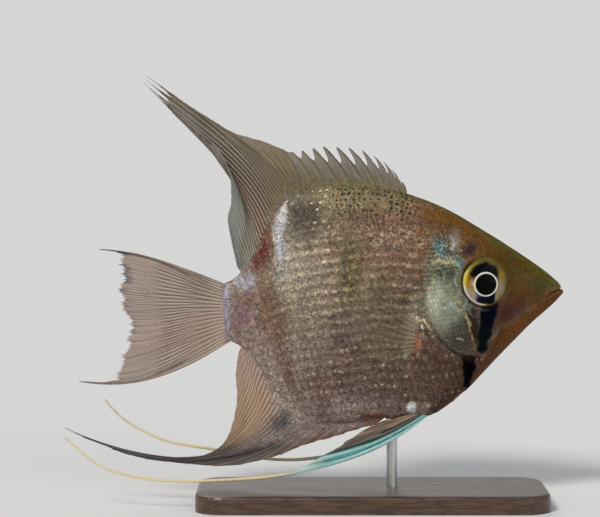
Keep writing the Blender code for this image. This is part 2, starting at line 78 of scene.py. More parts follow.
# Of each fin: places are stations along the body, and lead and trail are the margins before and behind the
# streamer's tip. leaders counts the rays that end in the lead. Rows of angles hold a share of the fin's
# length and the degrees at which a ray there leaves the body and arrives at the margin. The margin is cut
# this deep by notches behind the spines and by fray behind the streamer, and a ray forks twice, from these
# places on: these are shares of a ray's length.
DORSAL = {
    "spine_places": (5.32, 5.38, 5.46, 5.62, 5.8, 6.04, 6.34, 6.7, 7, 7.32, 7.64, 7.95),
    "spines": (
        (6.6, 71.9), (4.6, 74.4), (2.7, 76.2), (0.6, 77.6), (-2, 78.9), (-5, 79.5),
        (-7.7, 79.6), (-10.7, 79.8), (-13, 79.4), (-15.4, 78.9), (-17.6, 78.6), (-20, 79.4),
    ),
    "spine_angles": ((0, 120, 138), (0.5, 112, 140), (1, 118, 134)),
    "soft_places": (7.95, 10.75),
    "lead": ((-20, 79.4), (-24.7, 81.3), (-31.3, 83.3), (-38.2, 87.4), (-43, 90.6), (-50.3, 95.8)),
    "trail": (
        (-50.3, 95.8), (-51.2, 94.6), (-48.6, 92), (-45, 88.6), (-40.6, 85), (-37.1, 81.6),
        (-33.9, 79.2), (-31.7, 74.3), (-31.3, 68), (-32, 64.4), (-31.4, 60.3), (-29.9, 53.6),
    ),
    "rays": 30,
    "leaders": 10,
    "angles": (
        (0, 122, 122), (0.17, 120, 146), (0.33, 117, 143),
        (0.58, 106, 126), (0.8, 102, 110), (1, 100, 100),
    ),
    "sway": -1.6,
    "notches": 0.42,
    "fray": 0.17,
    "forks": (0.22, 0.55),
}  # fmt: skip
ANAL = {
    "spine_places": (5.85, 6.12, 6.38, 6.62, 6.88, 7.16, 7.45),
    "spines": (
        (-0.2, 17.7), (-3.4, 16.8), (-6.4, 15.8), (-9.4, 14.8), (-13, 13.9), (-16.8, 12.7), (-20.4, 11.1),
    ),
    "spine_angles": ((0, 222, 196), (0.3, 226, 204), (1, 222, 210)),
    "soft_places": (7.45, 10.75),
    "lead": (
        (-20.4, 11.1), (-26.9, 9.4), (-33, 8.5), (-41.7, 8.9), (-53.6, 10.6), (-63, 14.1), (-69.1, 17.4),
    ),
    "trail": (
        (-69.1, 17.4), (-63, 14.6), (-53.6, 11.1), (-42.8, 9.9), (-36.2, 11.2),
        (-33.2, 13.4), (-31.2, 17.5), (-30.1, 23.4), (-30.3, 29), (-29.6, 34),
    ),
    "rays": 26,
    "leaders": 8,
    "angles": (
        (0, 215, 215), (0.15, 229, 189), (0.31, 240, 152), (0.46, 248, 163),
        (0.54, 250, 178), (0.62, 252, 212), (0.77, 255, 246), (1, 258, 258),
    ),
    "sway": 0.8,
    "notches": 0.1,
    "fray": 0.1,
    "forks": (0.02, 0.45),
}  # fmt: skip
TAIL_MARGIN = (
    (-60.6, 56.9), (-56.1, 56), (-55.5, 51.4), (-55.6, 45.4), (-53.7, 40.6),
    (-54.1, 36), (-55.8, 31.2), (-57.4, 27.4), (-65.4, 27.4),
)  # fmt: skip
TAIL_RAYS = 22
TAIL_ANGLES = ((0, 160, 178), (0.25, 166, 170), (0.5, 178, 178), (0.75, 196, 192), (1, 213, 170))
TAIL_SWAY = 1.8
PELVIC_ROOT = ((11.6, 1.6, 18.8), (7.9, 1.9, 19.3))
PELVIC_TIP = {"right": (-17.6, 6.9, 7.95), "left": (-11.5, 6.5, 9.6)}
PELVIC_INNER = {
    "right": ((2.6, 2.4, 18.6), (-2.8, 3.4, 16.6), (-8.3, 4.8, 13.1), (-13.2, 6, 10.4)),
    "left": ((2.6, 2.4, 18.3), (-1.6, 3.4, 16.2), (-5.2, 4.8, 13.4), (-8.4, 6, 11.3)),
}
PELVIC_RAYS = 6
PELVIC_ANGLES = ((0, 217, 189), (0.5, 210, 193), (1, 199, 199))
FILAMENTS = {
    "right": (
        (-16.6, 6.85, 8.15), (-23, 7.6, 7.3), (-30, 8, 6.8), (-39, 8.3, 6.5), (-48.3, 8.2, 6.8),
        (-56, 7.7, 8.2), (-61.5, 7.2, 10.6), (-67.9, 6.3, 15.9),
    ),
    "left": (
        (-10.6, 6.4, 9.75), (-17.5, 7.2, 9), (-25, 7.9, 9.3), (-34.4, 8.5, 11), (-45.2, 9.2, 12.7),
        (-51.3, 9.4, 15.1), (-56.3, 9.5, 18.1), (-60.6, 9.5, 22.6),
    ),
}  # fmt: skip
FILAMENT_RADII = (0.4, 0.22)
PECTORAL_ROOT = ((10.3, 40.7), (9.4, 34.8))
PECTORAL_MARGIN = ((-0.3, 54.9), (-3.8, 49.9), (-5.2, 44.2), (-4.1, 38.7), (-1.1, 34.3), (2.6, 32.5))
PECTORAL_RAYS = 11
PECTORAL_ANGLES = ((0, 136, 122), (0.5, 178, 172), (1, 212, 200))
PECTORAL_SPREAD = 2.4

# ---------------------------------------------------------------- sizes of the visual model

COAT = 0.12  # how far the skin lies inside the solids, which is the scales' depth
SKIN_RINGS, SKIN_ARCS = 310, 150
HEAD_END, HEAD_SHARE = 5, 0.6  # the station of the gill openings, and the share of the rings before it
ROOT_DEPTH = 1.5  # how deep the fins' rays start inside the body
FORK_LENGTHS = (0.35, 0.3)  # the shares of a ray over which its first and its second fork open
TAIL_ROOT_DEPTH = 1.6
TAIL_HEIGHT = 43  # the middle of the tail fin's root
PELVIC_SINK = (0.9, -0.5, 1.3)  # from the solid fin's root to where the sheet starts inside the belly
SCALED_LENGTH = (-34, 40)  # the x between which scales may lie
SCALE_FRONT, SCALE_HIND = 0.45, 0.65  # how far a scale reaches before and behind its middle
BAKE_PATCH = 0.0015  # half a scale's patch on the OFBake map

# ---------------------------------------------------------------- curves and surfaces


def along(rows, place):
    """The smooth curve through rows, read at these places, where 0 is the first row."""
    rows = np.asarray(rows, float)
    place = np.clip(np.asarray(place, float), 0, len(rows) - 1)
    start = np.minimum(place.astype(int), len(rows) - 2)
    t = (place - start)[..., None]
    before, here, there, after = (rows[np.clip(start + step, 0, len(rows) - 1)] for step in (-1, 0, 1, 2))
    slopes = (there - before) / 2, (after - here) / 2
    return (
        (2 * t**3 - 3 * t**2 + 1) * here
        + (t**3 - 2 * t**2 + t) * slopes[0]
        + (3 * t**2 - 2 * t**3) * there
        + (t**3 - t**2) * slopes[1]
    )


def all_along(rows, share):
    """The same curve, read at shares of its length from 0 to 1."""
    return along(rows, share * (len(rows) - 1))


def eased_stations(samples=60, reach=15):
    """The stations' curves with their bends evened out, as a dense table read by straight steps.

    samples lie between two stations, and this many on each side are averaged."""
    place = np.linspace(0, LAST, samples * LAST + 1)
    rows = along(STATIONS, place)
    weights = np.exp(-(np.linspace(-2, 2, 2 * reach + 1) ** 2))
    weights /= weights.sum()
    padded = [2 * rows[0] - rows[reach:0:-1], rows, 2 * rows[-1] - rows[-2 : -2 - reach : -1]]
    padded = np.concatenate(padded)
    eased = np.stack([np.convolve(column, weights, "valid") for column in padded.T], 1)
    return place, eased


PLACES, EASED = eased_stations()


def read_columns(at, heads, rows):
    """The values of a table's columns, at these numbers between the heads of its rows."""
    return np.stack([np.interp(at, heads, column) for column in np.array(rows).T], -1)


def stations(place):
    return read_columns(place, PLACES, EASED)


def base_point(place, turn):
    """The left side's outer form at a station and a turn, from 0 at the belly to pi at the back."""
    rows = stations(place)
    height = -np.cos(turn)
    share = (height[..., None] + 1) / 2
    side_view = rows[..., 2:4] * (1 - share) + rows[..., 0:2] * share
    from_widest = height - WIDEST
    from_widest = from_widest / np.where(from_widest < 0, 1 + WIDEST, 1 - WIDEST)
    inwards = np.minimum(place / SNOUT_ROUNDING, (LAST - place) / TAIL_ROUNDING)
    rounding = np.sqrt(1 - (1 - np.clip(inwards, 0, 1)) ** 2)
    width = rows[..., 4] * rounding * np.clip(1 - from_widest**2, 0, 1) ** KEEL
    return np.stack([side_view[..., 0], width, side_view[..., 1]], -1)


def unit(vectors):
    return vectors / np.linalg.norm(vectors, axis=-1, keepdims=True)


SEAM = 0.05  # radians from the belly's and the back's middle line


def tangents(place, turn):
    """How the body's side moves with one station ahead, and with one radian towards the back."""
    step = 0.01
    place = np.clip(place, 2 * step, LAST - 2 * step)
    turn = np.clip(turn, SEAM, math.pi - SEAM)
    ahead = (base_point(place - step, turn) - base_point(place + step, turn)) / (2 * step)
    up = (base_point(place, turn + step) - base_point(place, turn - step)) / (2 * step)
    return ahead, up


def normal_of(place, turn):
    ahead, up = tangents(place, turn)
    normal = np.cross(up, ahead)
    normal[..., 1] *= np.clip(np.minimum(turn, math.pi - turn) / SEAM, 0, 1)
    return unit(normal)


def step_up(low, high, value):
    """0 below low, 1 above high and a smooth rise between them. It falls instead where high is below low."""
    t = np.clip((value - low) / (high - low), 0, 1)
    return t * t * (3 - 2 * t)


def bell(distance, width):
    return np.exp(-((distance / width) ** 2))


def to_line(x, z, line, smooth=True):
    """The distance to a line of x and z, the side of the line (1 is its left) and how far along it is."""
    line = all_along(line, np.linspace(0, 1, 8 * len(line))) if smooth else np.asarray(line, float)
    best = np.full(x.shape, 1e9)
    side, share = np.zeros(x.shape), np.zeros(x.shape)
    for i, (start, end) in enumerate(zip(line[:-1], line[1:])):
        d = end - start
        t = np.clip(((x - start[0]) * d[0] + (z - start[1]) * d[1]) / (d @ d), 0, 1)
        dx, dz = x - start[0] - t * d[0], z - start[1] - t * d[1]
        distance = np.hypot(dx, dz)
        nearer = distance < best
        best = np.where(nearer, distance, best)
        side = np.where(nearer, np.sign(d[0] * dz - d[1] * dx), side)
        share = np.where(nearer, (i + t) / (len(line) - 1), share)
    return best, side, share


def oval(x, z, centre, radii, turned=0, softness=0.4):
    """1 inside an oval of the side view and 0 outside it. turned is in degrees, anticlockwise."""
    angle = math.radians(turned)
    dx, dz = x - centre[0], z - centre[1]
    u = (dx * math.cos(angle) + dz * math.sin(angle)) / radii[0]
    v = (dz * math.cos(angle) - dx * math.sin(angle)) / radii[1]
    return step_up(1 + softness, 1 - softness, np.hypot(u, v))


def strongest(x, z, patches):
    """The largest strength of these soft ovals: rows of strength, centre, half sizes, turn and softness."""
    return np.max([strength * oval(x, z, *form) for strength, *form in patches], 0)


def lattice_noise(x, z, size, seed):
    """Smooth random values between 0 and 1, in cells of this size."""
    grid = np.random.default_rng(seed).random((256, 256))
    u, v = x / size + 512, z / size + 512
    i, j = np.floor(u).astype(int), np.floor(v).astype(int)
    a, b = step_up(0, 1, u - i), step_up(0, 1, v - j)
    low = grid[i % 256, j % 256] * (1 - a) + grid[(i + 1) % 256, j % 256] * a
    high = grid[i % 256, (j + 1) % 256] * (1 - a) + grid[(i + 1) % 256, (j + 1) % 256] * a
    return low * (1 - b) + high * b


def wander(x, z, size, seed):
    """Smooth random values between -0.5 and 0.5."""
    return lattice_noise(x, z, size, seed) - 0.5


# ---------------------------------------------------------------- the head's relief

MOUTH = ((43.2, 48.9), (41.9, 48.3), (40.6, 47.6), (39.3, 46.8), (38.4, 46.1))
MOUTH_FOLD = ((39.9, 49.2), (38.6, 47.7), (37.7, 46), (37.6, 44.8))
JAW_CREASE = ((39, 46.4), (36.4, 44.7), (33.6, 43), (29.8, 41), (27.4, 39.4), (26, 36.9), (24.6, 34.2))
CHEEK_EDGE = ((17.2, 56), (17.5, 51.5), (18.5, 47.3), (20.2, 44.2), (21.5, 40.8), (22.8, 37.5), (22.8, 34.8))
EYE_CREASE = ((19.3, 46.5), (21.5, 43.9), (25.2, 42.9), (28.8, 43.9), (30.9, 46.3))
THROAT_LINE = (
    (44.5, 49.4), (40.6, 47.3), (36.5, 45), (33.4, 42.6), (30.6, 41), (28.2, 39.6),
    (26.7, 36.8), (25.8, 34.6), (24.6, 32.6), (23.4, 30.4), (22.2, 27.8), (20.6, 25.2), (19.8, 24.4),
)  # fmt: skip
NOSTRIL = (34, 52.6)
EYE_SOCKET_DEPTH = 2.3
PECTORAL_SEAT = (10.1, 37.3)
# Height, centre, half sizes, turn and softness.
SWELLINGS = (
    (0.3, (21.4, 42.4), (2.2, 5.5), 20, 0.7),  # cheek
    (0.45, PECTORAL_SEAT, (1.1, 4), -6, 0.5),
    (0.35, (9.2, 20.8), (3.2, 1.6), -8, 0.6),  # roots of the pelvic fins
    (0.9, (4.5, 21.2), (1.5, 2.6), 0, 0.6),  # the belly is full round the stand's rod
)


def from_eye(x, z):
    """0 at the eye's middle and 1 at the edge of its opening."""
    return np.hypot((x - EYE[0]) / EYE_WIDTH, (z - EYE[2]) / EYE_HEIGHT)


def from_nostril(x, z):
    return np.hypot(x - NOSTRIL[0], z - NOSTRIL[1])


def plate_edge(x, z, line, ends, step, groove):
    """A raised edge and the groove behind it, faded in and out at these shares of the line.

    step is the edge's height, its bevel and its reach, and groove is a depth and a half width."""
    distance, side, share = to_line(x, z, line)
    raised = step[0] * step_up(0, step[1], distance) * bell(distance, step[2])
    shown = step_up(0, ends[0], share) * step_up(1, ends[1], share)
    return shown * np.where(side > 0, raised, -groove[0] * bell(distance, groove[1]))


def relief(x, z):
    """How far the skin stands out from the body's plain form, as seen from the side."""
    eye, nostril = from_eye(x, z), from_nostril(x, z)
    out = 0.14 * bell(eye - 1.13, 0.08) - 0.07 * bell(eye - 1.3, 0.09)
    out -= EYE_SOCKET_DEPTH * step_up(1.02, 0.94, eye)
    out += 0.05 * bell(nostril - 0.55, 0.22) - 0.25 * bell(nostril, 0.3)
    out += plate_edge(x, z, GILL_EDGE, (0.18, 0.9), step=(0.42, 0.25, 7.5), groove=(0.16, 0.9))
    out += plate_edge(x, z, CHEEK_EDGE, (0.25, 0.85), step=(0.16, 0.3, 2.8), groove=(0.1, 0.5))

    distance, side, share = to_line(x, z, MOUTH)
    out += step_up(1, 0.8, share) * (0.16 * bell(distance - 0.62, 0.4) - 0.3 * bell(distance, 0.16))
    distance, side, share = to_line(x, z, MOUTH_FOLD)
    out += 0.07 * bell(distance - 0.5, 0.4) * (side > 0) - 0.08 * bell(distance, 0.28)
    distance, side, share = to_line(x, z, JAW_CREASE)
    out -= 0.1 * bell(distance, 0.3) * step_up(1, 0.8, share)
    out -= 0.08 * bell(to_line(x, z, EYE_CREASE)[0], 0.45)
    distance, side, share = to_line(x, z, THROAT_LINE)
    out += 0.12 * step_up(-0.3, 0.3, side * distance) * step_up(0.02, 0.1, share) * step_up(1, 0.9, share)

    for height, *form in SWELLINGS:
        out += height * oval(x, z, *form)
    return out + 0.1 * wander(x, z, 3.5, 5) * step_up(8, 14, x)


def skin_point(place, turn, lift=0):
    """The skin itself, or a point this far above it."""
    plain = base_point(place, turn)
    return plain + normal_of(place, turn) * (relief(plain[..., 0], plain[..., 2]) - COAT + lift)[..., None]


# ---------------------------------------------------------------- the markings

BACK_TO_BELLY = (
    (17.5, (0.125, 0.08, 0.055)),
    (21, (0.13, 0.093, 0.077)),
    (27, (0.12, 0.076, 0.058)),
    (34, (0.132, 0.081, 0.064)),
    (42, (0.158, 0.108, 0.075)),
    (51, (0.206, 0.15, 0.098)),
    (57, (0.196, 0.134, 0.084)),
    (62, (0.178, 0.11, 0.072)),
    (66, (0.15, 0.11, 0.062)),
    (71.5, (0.125, 0.108, 0.045)),
)
# Soft patches of the side view, in the order in which they are laid over each other:
# centre, half sizes, turn in degrees, softness, colour, strength.
PATCHES = (
    ((-24, 29), (9.5, 13), 25, 0.7, (0.272, 0.2, 0.168), 0.85),  # paler hind flank
    ((-27, 24), (5, 6), 0, 0.8, (0.3, 0.236, 0.215), 0.65),
    ((-9, 21), (15, 4.4), -4, 0.7, (0.315, 0.25, 0.228), 0.85),
    ((-19, 44), (3.6, 17), 6, 0.7, (0.262, 0.214, 0.155), 0.65),
    ((-15.2, 65), (3.8, 7.8), -10, 0.6, (0.049, 0.034, 0.023), 0.96),  # dusky corner of the back
    ((6, 44), (8, 10), 0, 0.7, (0.076, 0.041, 0.018), 0.85),  # front of the flank
    ((10.5, 47), (3.6, 12), 0, 0.7, (0.095, 0.056, 0.028), 0.75),
    ((6, 33), (9, 6), 10, 0.8, (0.09, 0.072, 0.04), 0.6),
    ((6, 57), (10, 7.5), -10, 0.7, (0.165, 0.088, 0.052), 0.75),
    ((9, 65), (10, 5.5), -22, 0.7, (0.172, 0.077, 0.039), 0.9),  # nape
    ((-1, 69), (15, 3.2), -4, 0.7, (0.245, 0.19, 0.098), 0.8),  # back
    ((-9.2, 66), (2.8, 5), 0, 0.7, (0.3, 0.23, 0.11), 0.5),
    ((-4.8, 52.5), (2.4, 9), 3, 0.6, (0.105, 0.078, 0.026), 0.75),  # middle bar
    ((-6.5, 34), (2.6, 9), 4, 0.8, (0.098, 0.052, 0.05), 0.55),
    ((-11.5, 25), (3, 6.5), 12, 0.8, (0.122, 0.052, 0.047), 0.7),
    ((-18.5, 30), (1.6, 9), 20, 0.8, (0.118, 0.048, 0.04), 0.7),
    ((-13.4, 48), (3.2, 12), 4, 0.8, (0.29, 0.24, 0.185), 0.5),
    ((-11, 35.5), (4, 5), 0, 0.8, (0.2, 0.15, 0.115), 0.55),
    ((-21.8, 43), (3, 6.5), 12, 0.6, (0.162, 0.088, 0.055), 0.85),  # hind bar, brown
    ((-2, 40), (6, 4), 0, 0.8, (0.12, 0.07, 0.062), 0.5),
    ((0.5, 34.5), (8, 2.2), 4, 0.8, (0.112, 0.06, 0.048), 0.5),
    ((-3, 27), (6, 3), 0, 0.8, (0.115, 0.066, 0.055), 0.5),
    ((-29.5, 42), (2.8, 2.6), 0, 0.7, (0.24, 0.122, 0.145), 0.8),  # and magenta
    ((-27.5, 46.5), (4, 1.2), 16, 0.8, (0.19, 0.09, 0.08), 0.6),
    ((-28.6, 51), (2.4, 3), 20, 0.6, (0.35, 0.335, 0.38), 0.9),
    ((-24.7, 56.4), (1.9, 4.4), -20, 0.7, (0.13, 0.024, 0.018), 0.95),  # red patch under the dorsal fin
    ((-27, 55.2), (0.75, 4.6), -27, 0.7, (0.215, 0.2, 0.15), 0.75),
    ((-28.2, 53.4), (1.2, 2), -20, 0.7, (0.23, 0.15, 0.14), 0.7),
    ((-18.2, 54), (2.9, 6.5), 0, 0.7, (0.37, 0.32, 0.24), 0.7),  # silvery patch
    ((-20.6, 56.6), (1.2, 5.6), 3, 0.6, (0.33, 0.315, 0.32), 0.85),
    ((-20.7, 63), (1.25, 3.6), -12, 0.4, (0.47, 0.45, 0.465), 0.95),
    ((-20.9, 58), (0.45, 3.4), 0, 0.5, (0.48, 0.47, 0.5), 0.85),
    ((-19.3, 66.9), (0.5, 2.4), -16, 0.5, (0.54, 0.52, 0.43), 0.9),
    ((-32.9, 44), (0.9, 5.8), 2, 0.6, (0.34, 0.32, 0.4), 0.8),  # line at the tail fin's root
    ((-31.4, 42.5), (0.7, 5.5), 2, 0.7, (0.215, 0.16, 0.15), 0.6),
    ((8.7, 40.5), (1.3, 7.5), -4, 0.7, (0.21, 0.19, 0.135), 0.7),  # pale behind the pectoral fin's root
    ((17.5, 29), (9.5, 8), -40, 0.6, (0.06, 0.023, 0.008), 0.9),  # chest
    ((8, 26.5), (8, 5.5), -20, 0.7, (0.112, 0.066, 0.05), 0.75),
    ((14.5, 35.5), (4, 2), -40, 0.7, (0.105, 0.045, 0.038), 0.65),  # reddish below the gill cover
    ((22.5, 58.5), (14, 8.5), -38, 0.45, (0.136, 0.053, 0.007), 0.95),  # forehead
    ((33, 51.5), (9.5, 6), -38, 0.5, (0.07, 0.034, 0.0005), 0.98),  # snout
    ((36, 51), (6, 2.4), -30, 0.7, (0.066, 0.046, 0.003), 0.6),
    ((29.9, 44.2), (5.4, 2.9), 36, 0.6, (0.076, 0.024, 0.006), 0.92),  # purple-brown cheek
    ((30.4, 43.4), (2.7, 1.5), 40, 0.7, (0.036, 0.012, 0.01), 0.8),
    ((36.8, 53.3), (5.6, 1.5), -37, 0.6, (0.084, 0.061, 0.002), 0.85),  # greenish top of the snout
    ((37.2, 49.6), (2.4, 1.6), 0, 0.8, (0.046, 0.044, 0.008), 0.6),
    ((26.5, 60), (7, 1.3), -33, 0.8, (0.086, 0.072, 0.014), 0.6),
    ((40.2, 47.6), (2.8, 1.3), 20, 0.7, (0.125, 0.05, 0.012), 0.7),  # lips
    ((16.9, 44.6), (4.6, 11), 14, 0.3, (0.116, 0.112, 0.074), 0.97),  # gill cover
    # painted highlight on the front half of the gill cover, and its brightest middle
    ((15, 44.8), (3.1, 4.8), 10, 0.8, (0.262, 0.276, 0.188), 0.9),
    ((13.8, 45.8), (1.5, 2.7), 5, 0.7, (0.43, 0.445, 0.33), 0.85),
    ((17.4, 42), (1.6, 3.6), 20, 0.8, (0.185, 0.2, 0.15), 0.6),
    ((18.6, 37.6), (3.4, 3.8), 20, 0.7, (0.034, 0.026, 0.016), 0.87),
    ((20.3, 45), (1.6, 4.5), 16, 0.7, (0.095, 0.13, 0.07), 0.5),
    ((16, 53.2), (4, 3.6), 0, 0.6, (0.054, 0.07, 0.032), 0.9),
    ((15.4, 51.8), (1.3, 0.8), 0, 0.7, (0.028, 0.036, 0.014), 0.7),
    ((15.9, 57.6), (3, 2.4), -15, 0.6, (0.058, 0.062, 0.052), 0.75),  # turquoise above the gill cover
    ((14.9, 57.8), (1, 1.4), 25, 0.9, (0.03, 0.12, 0.125), 0.7),
    ((18.9, 54.8), (1, 1.2), 5, 0.7, (0.06, 0.13, 0.125), 0.7),
    ((16.4, 54.9), (2.8, 0.5), -4, 0.6, (0.35, 0.33, 0.16), 0.6),
    ((18.6, 59.6), (0.9, 1.8), 0, 0.7, (0.33, 0.32, 0.27), 0.5),
    ((21.4, 57.4), (1.8, 1.2), 30, 0.7, (0.014, 0.008, 0.02), 0.85),  # dusk behind and above the eye
    ((22.1, 41.3), (1.9, 6.2), 12, 0.6, (0.015, 0.008, 0.006), 0.95),  # grey before the gill cover's edge
    ((8.5, 22.4), (0.85, 1.2), -28, 0.45, (0.7, 0.72, 0.76), 0.95),  # white spot at the pelvic root
    ((8.9, 20.9), (0.7, 0.6), 15, 0.5, (0.56, 0.57, 0.6), 0.85),
    ((11.2, 21.9), (1.5, 1.2), 20, 0.7, (0.26, 0.2, 0.17), 0.8),
    ((12.6, 22), (0.5, 0.6), 0, 0.6, (0.42, 0.36, 0.34), 0.6),
    ((3.5, 20), (7, 0.9), -5, 0.6, (0.18, 0.058, 0.02), 0.75),  # belly's edge
    ((19.5, 23.6), (6, 1.1), 42, 0.6, (0.13, 0.052, 0.018), 0.6),
)
# Lines of the side view: points, half width, softness, colour, strength.
STROKES = (
    (((25.9, 46.4), (25.7, 44.6), (25.5, 42.6)), 2, 0.22, (0.002, 0.002, 0.006), 0.98),
    (((25.5, 43), (25.1, 40.6), (24.8, 38.6)), 1.7, 0.22, (0.001, 0.002, 0.005), 0.98),
    (((24.8, 39), (24.5, 36.8), (24.4, 35.4)), 1.3, 0.3, (0.001, 0.004, 0.004), 0.98),
    (((20.2, 32.9), (22.4, 33)), 0.62, 0.2, (0.0005, 0.0005, 0.0015), 1),
    (((21.4, 32.4), (21.5, 31)), 1.5, 0.2, (0.0005, 0.0005, 0.0015), 1),
    (((21.5, 31.2), (21.4, 29.2)), 1.2, 0.2, (0.0005, 0.0005, 0.0015), 1),
    (((21.4, 29.4), (21, 27)), 0.9, 0.25, (0.0005, 0.0005, 0.0015), 1),
    (((27.3, 41.8), (27, 39.6)), 0.5, 0.8, (0.01, 0.024, 0.024), 0.5),
    (((28.6, 40.4), (27.6, 38), (26.4, 35.6)), 1, 0.9, (0.044, 0.023, 0.005), 0.75),
    (((41.2, 47.5), (37.5, 45.4), (33.6, 43), (29.8, 41), (27.6, 39.8)), 0.2, 0.8, (0.14, 0.05, 0.014), 0.6),
    (((41.2, 47.2), (37.5, 45), (33.6, 42.6), (29.8, 40.6), (27.6, 39.2)), 0.16, 0.8,
     (0.045, 0.016, 0.004), 0.6),
    (((18.3, 47.6), (20, 44), (21.1, 40.6), (22, 37.4), (22.6, 35)), 0.13, 0.7, (0.38, 0.29, 0.12), 0.75),
    (((20.2, 43.6), (21.4, 40.6)), 0.22, 0.8, (0.52, 0.42, 0.16), 0.7),
    # a painted white highlight streak on the gill cover
    (((20, 37.5), (18.8, 37.8)), 0.13, 0.7, (0.76, 0.78, 0.7), 0.9),
    (((18.9, 47.9), (20.6, 44.2)), 0.15, 0.7, (0.2, 0.16, 0.12), 0.6),
    (((9.5, 38.5), (9, 36), (8.8, 33.6)), 0.7, 0.8, (0.23, 0.115, 0.075), 0.75),
    (((10.9, 38.6), (10.8, 36.4)), 0.5, 0.8, (0.27, 0.225, 0.14), 0.7),
    (((9.9, 35.2), (9.7, 33.8)), 0.4, 0.8, (0.28, 0.215, 0.12), 0.75),
    (((7.6, 34.7), (7.4, 33.8)), 0.6, 0.9, (0.36, 0.37, 0.29), 0.7),
    (((9.8, 39.9), (9.7, 37.5), (9.2, 35.8), (9, 33.5)), 0.44, 0.7, (0.15, 0.016, 0.006), 0.96),
    (((10.1, 37.2), (9.9, 36)), 0.4, 0.7, (0.4, 0.12, 0.06), 0.96),
    (((9.7, 40.5), (10.2, 40.2)), 0.42, 0.7, (0.02, 0.005, 0.003), 0.9),
    (((10.8, 40.6), (10.8, 40.2)), 0.24, 0.7, (0.7, 0.66, 0.55), 0.85),
    (((10, 41.3), (11, 41.8), (11.8, 41)), 0.32, 0.7, (0.62, 0.52, 0.27), 0.85),
    (((9.7, 42.2), (9.5, 41)), 0.3, 0.7, (0.66, 0.64, 0.55), 0.8),
    (((9.3, 41.9), (8.2, 42)), 0.26, 0.8, (0.42, 0.29, 0.22), 0.7),
    (((11.8, 41), (13.2, 39.4)), 0.17, 0.8, (0.36, 0.33, 0.16), 0.75),
    (((13.4, 50.5), (12.3, 48), (12, 45.6), (12.3, 43), (13, 41.4)), 0.34, 0.8, (0.42, 0.44, 0.28), 0.7),
    (((13.2, 54.3), (14.6, 54.9), (16, 54.4), (17.4, 54.7), (18.6, 54)), 0.3, 0.8, (0.52, 0.5, 0.26), 0.75),
    (((14.2, 56.3), (15.8, 55.6), (18, 55.9)), 0.22, 0.9, (0.4, 0.42, 0.28), 0.55),
    (((17.2, 60.2), (17.8, 58.8), (17.4, 57.2)), 0.34, 0.9, (0.48, 0.5, 0.46), 0.6),
    (((13.4, 58.4), (14.6, 57), (15, 55.8)), 0.4, 0.9, (0.06, 0.19, 0.185), 0.7),
    (((18.4, 55.4), (19, 54)), 0.5, 0.9, (0.08, 0.22, 0.21), 0.7),
    (((13.6, 52.4), (15.4, 52.8), (17, 52.2)), 0.26, 0.8, (0.03, 0.04, 0.018), 0.7),
    (((17.6, 53.2), (18.6, 51), (19, 48.6)), 0.34, 0.9, (0.028, 0.044, 0.024), 0.6),
    # painted shade in the slit between the lips
    (((42.4, 48.6), (41, 47.9), (39.6, 47.1)), 0.15, 0.7, (0.012, 0.005, 0.003), 0.8),
    (((16.2, 55.4), (18, 54.6), (19.6, 52.6), (19.9, 50)), 0.22, 0.8, (0.33, 0.33, 0.26), 0.5),
)
# the colour of the painted shade in the gill slit
GILL_SLIT_SHADE = (0.02, 0.014, 0.01)
# Strength, centre, half sizes, turn and softness of the places where sparkles of reflected light are painted
# on the skin.
PAINTED_SPARKLE_AREAS = (
    (0.75, (16, 56.5), (4, 4.4), -25, 0.7),  # behind the eye
    (0.05, (16, 44.5), (5, 9), 15, 0.6),  # gill cover
    (0.9, (-20.5, 58.5), (2, 9), -5, 0.6),  # along the silvery patch
    (0.5, (-10.5, 67.5), (2.8, 4), 0, 0.7),
    (0.6, (6, 60), (13, 3), -6, 0.7),
    (0.7, (9.5, 39), (1.2, 3.5), -8, 0.7),
)
SOLID_STROKE = 0.95  # strokes stronger than this are unbroken


def rim_distance(x, z):
    """The distance from the body's outline in the side view."""
    return to_line(x, z, np.concatenate([EASED[::12, 0:2], EASED[::-12, 2:4]]), smooth=False)[0]


def layered(colours, *layers):
    """Lays colours over each other. A layer is its strength at each point, and its colour."""
    for strength, colour in layers:
        colours = colours + (np.asarray(colour) - colours) * np.asarray(strength)[..., None]
    return colours


def glitter(x, z):
    """How strongly painted sparkles of reflected light lie on the skin, at points of the side view."""
    return np.maximum(strongest(x, z, PAINTED_SPARKLE_AREAS), 0.18 * step_up(24, 12, x))


def lit_part(colours):
    """0 where a marking is black and 1 where it is not."""
    return step_up(0.015, 0.045, colours.mean(-1))


def throat_area(x, z):
    """1 on the throat and the lower jaw and 0 elsewhere, and how far along the throat's line points lie."""
    distance, side, share = to_line(x, z, THROAT_LINE)
    inside = step_up(-0.35, 0.35, side * distance) * step_up(1, 0.97, share) * step_up(0, 0.02, share)
    return inside, share


def gill_veins(x, z):
    """Pale branching veins on the gill cover."""
    cover = oval(x, z, (17, 45), (4.4, 9.5), 14, 0.3) * step_up(38, 46, z)
    return cover * np.minimum(bell(wander(x, z, 2.4, 18), 0.08) + 0.7 * bell(wander(x, z, 1.5, 19), 0.09), 1)


def gill_shade_layers(x, z):
    """Painted shade in the slit under the gill cover's hind edge, and painted shade on the body behind the
    slit.
    """
    distance, side, share = to_line(x, z, GILL_EDGE)
    shown = step_up(0.05, 0.2, share) * step_up(1, 0.92, share) * (0.25 + 0.75 * step_up(0.35, 0.6, share))
    # painted shade in the slit under the cover's edge
    yield 0.6 * shown * bell(distance + 0.1 * side, 0.2), GILL_SLIT_SHADE
    # painted shade cast on the body behind the slit
    yield 0.4 * shown * (side < 0) * bell(distance, 0.9), (0.05, 0.02, 0.016)


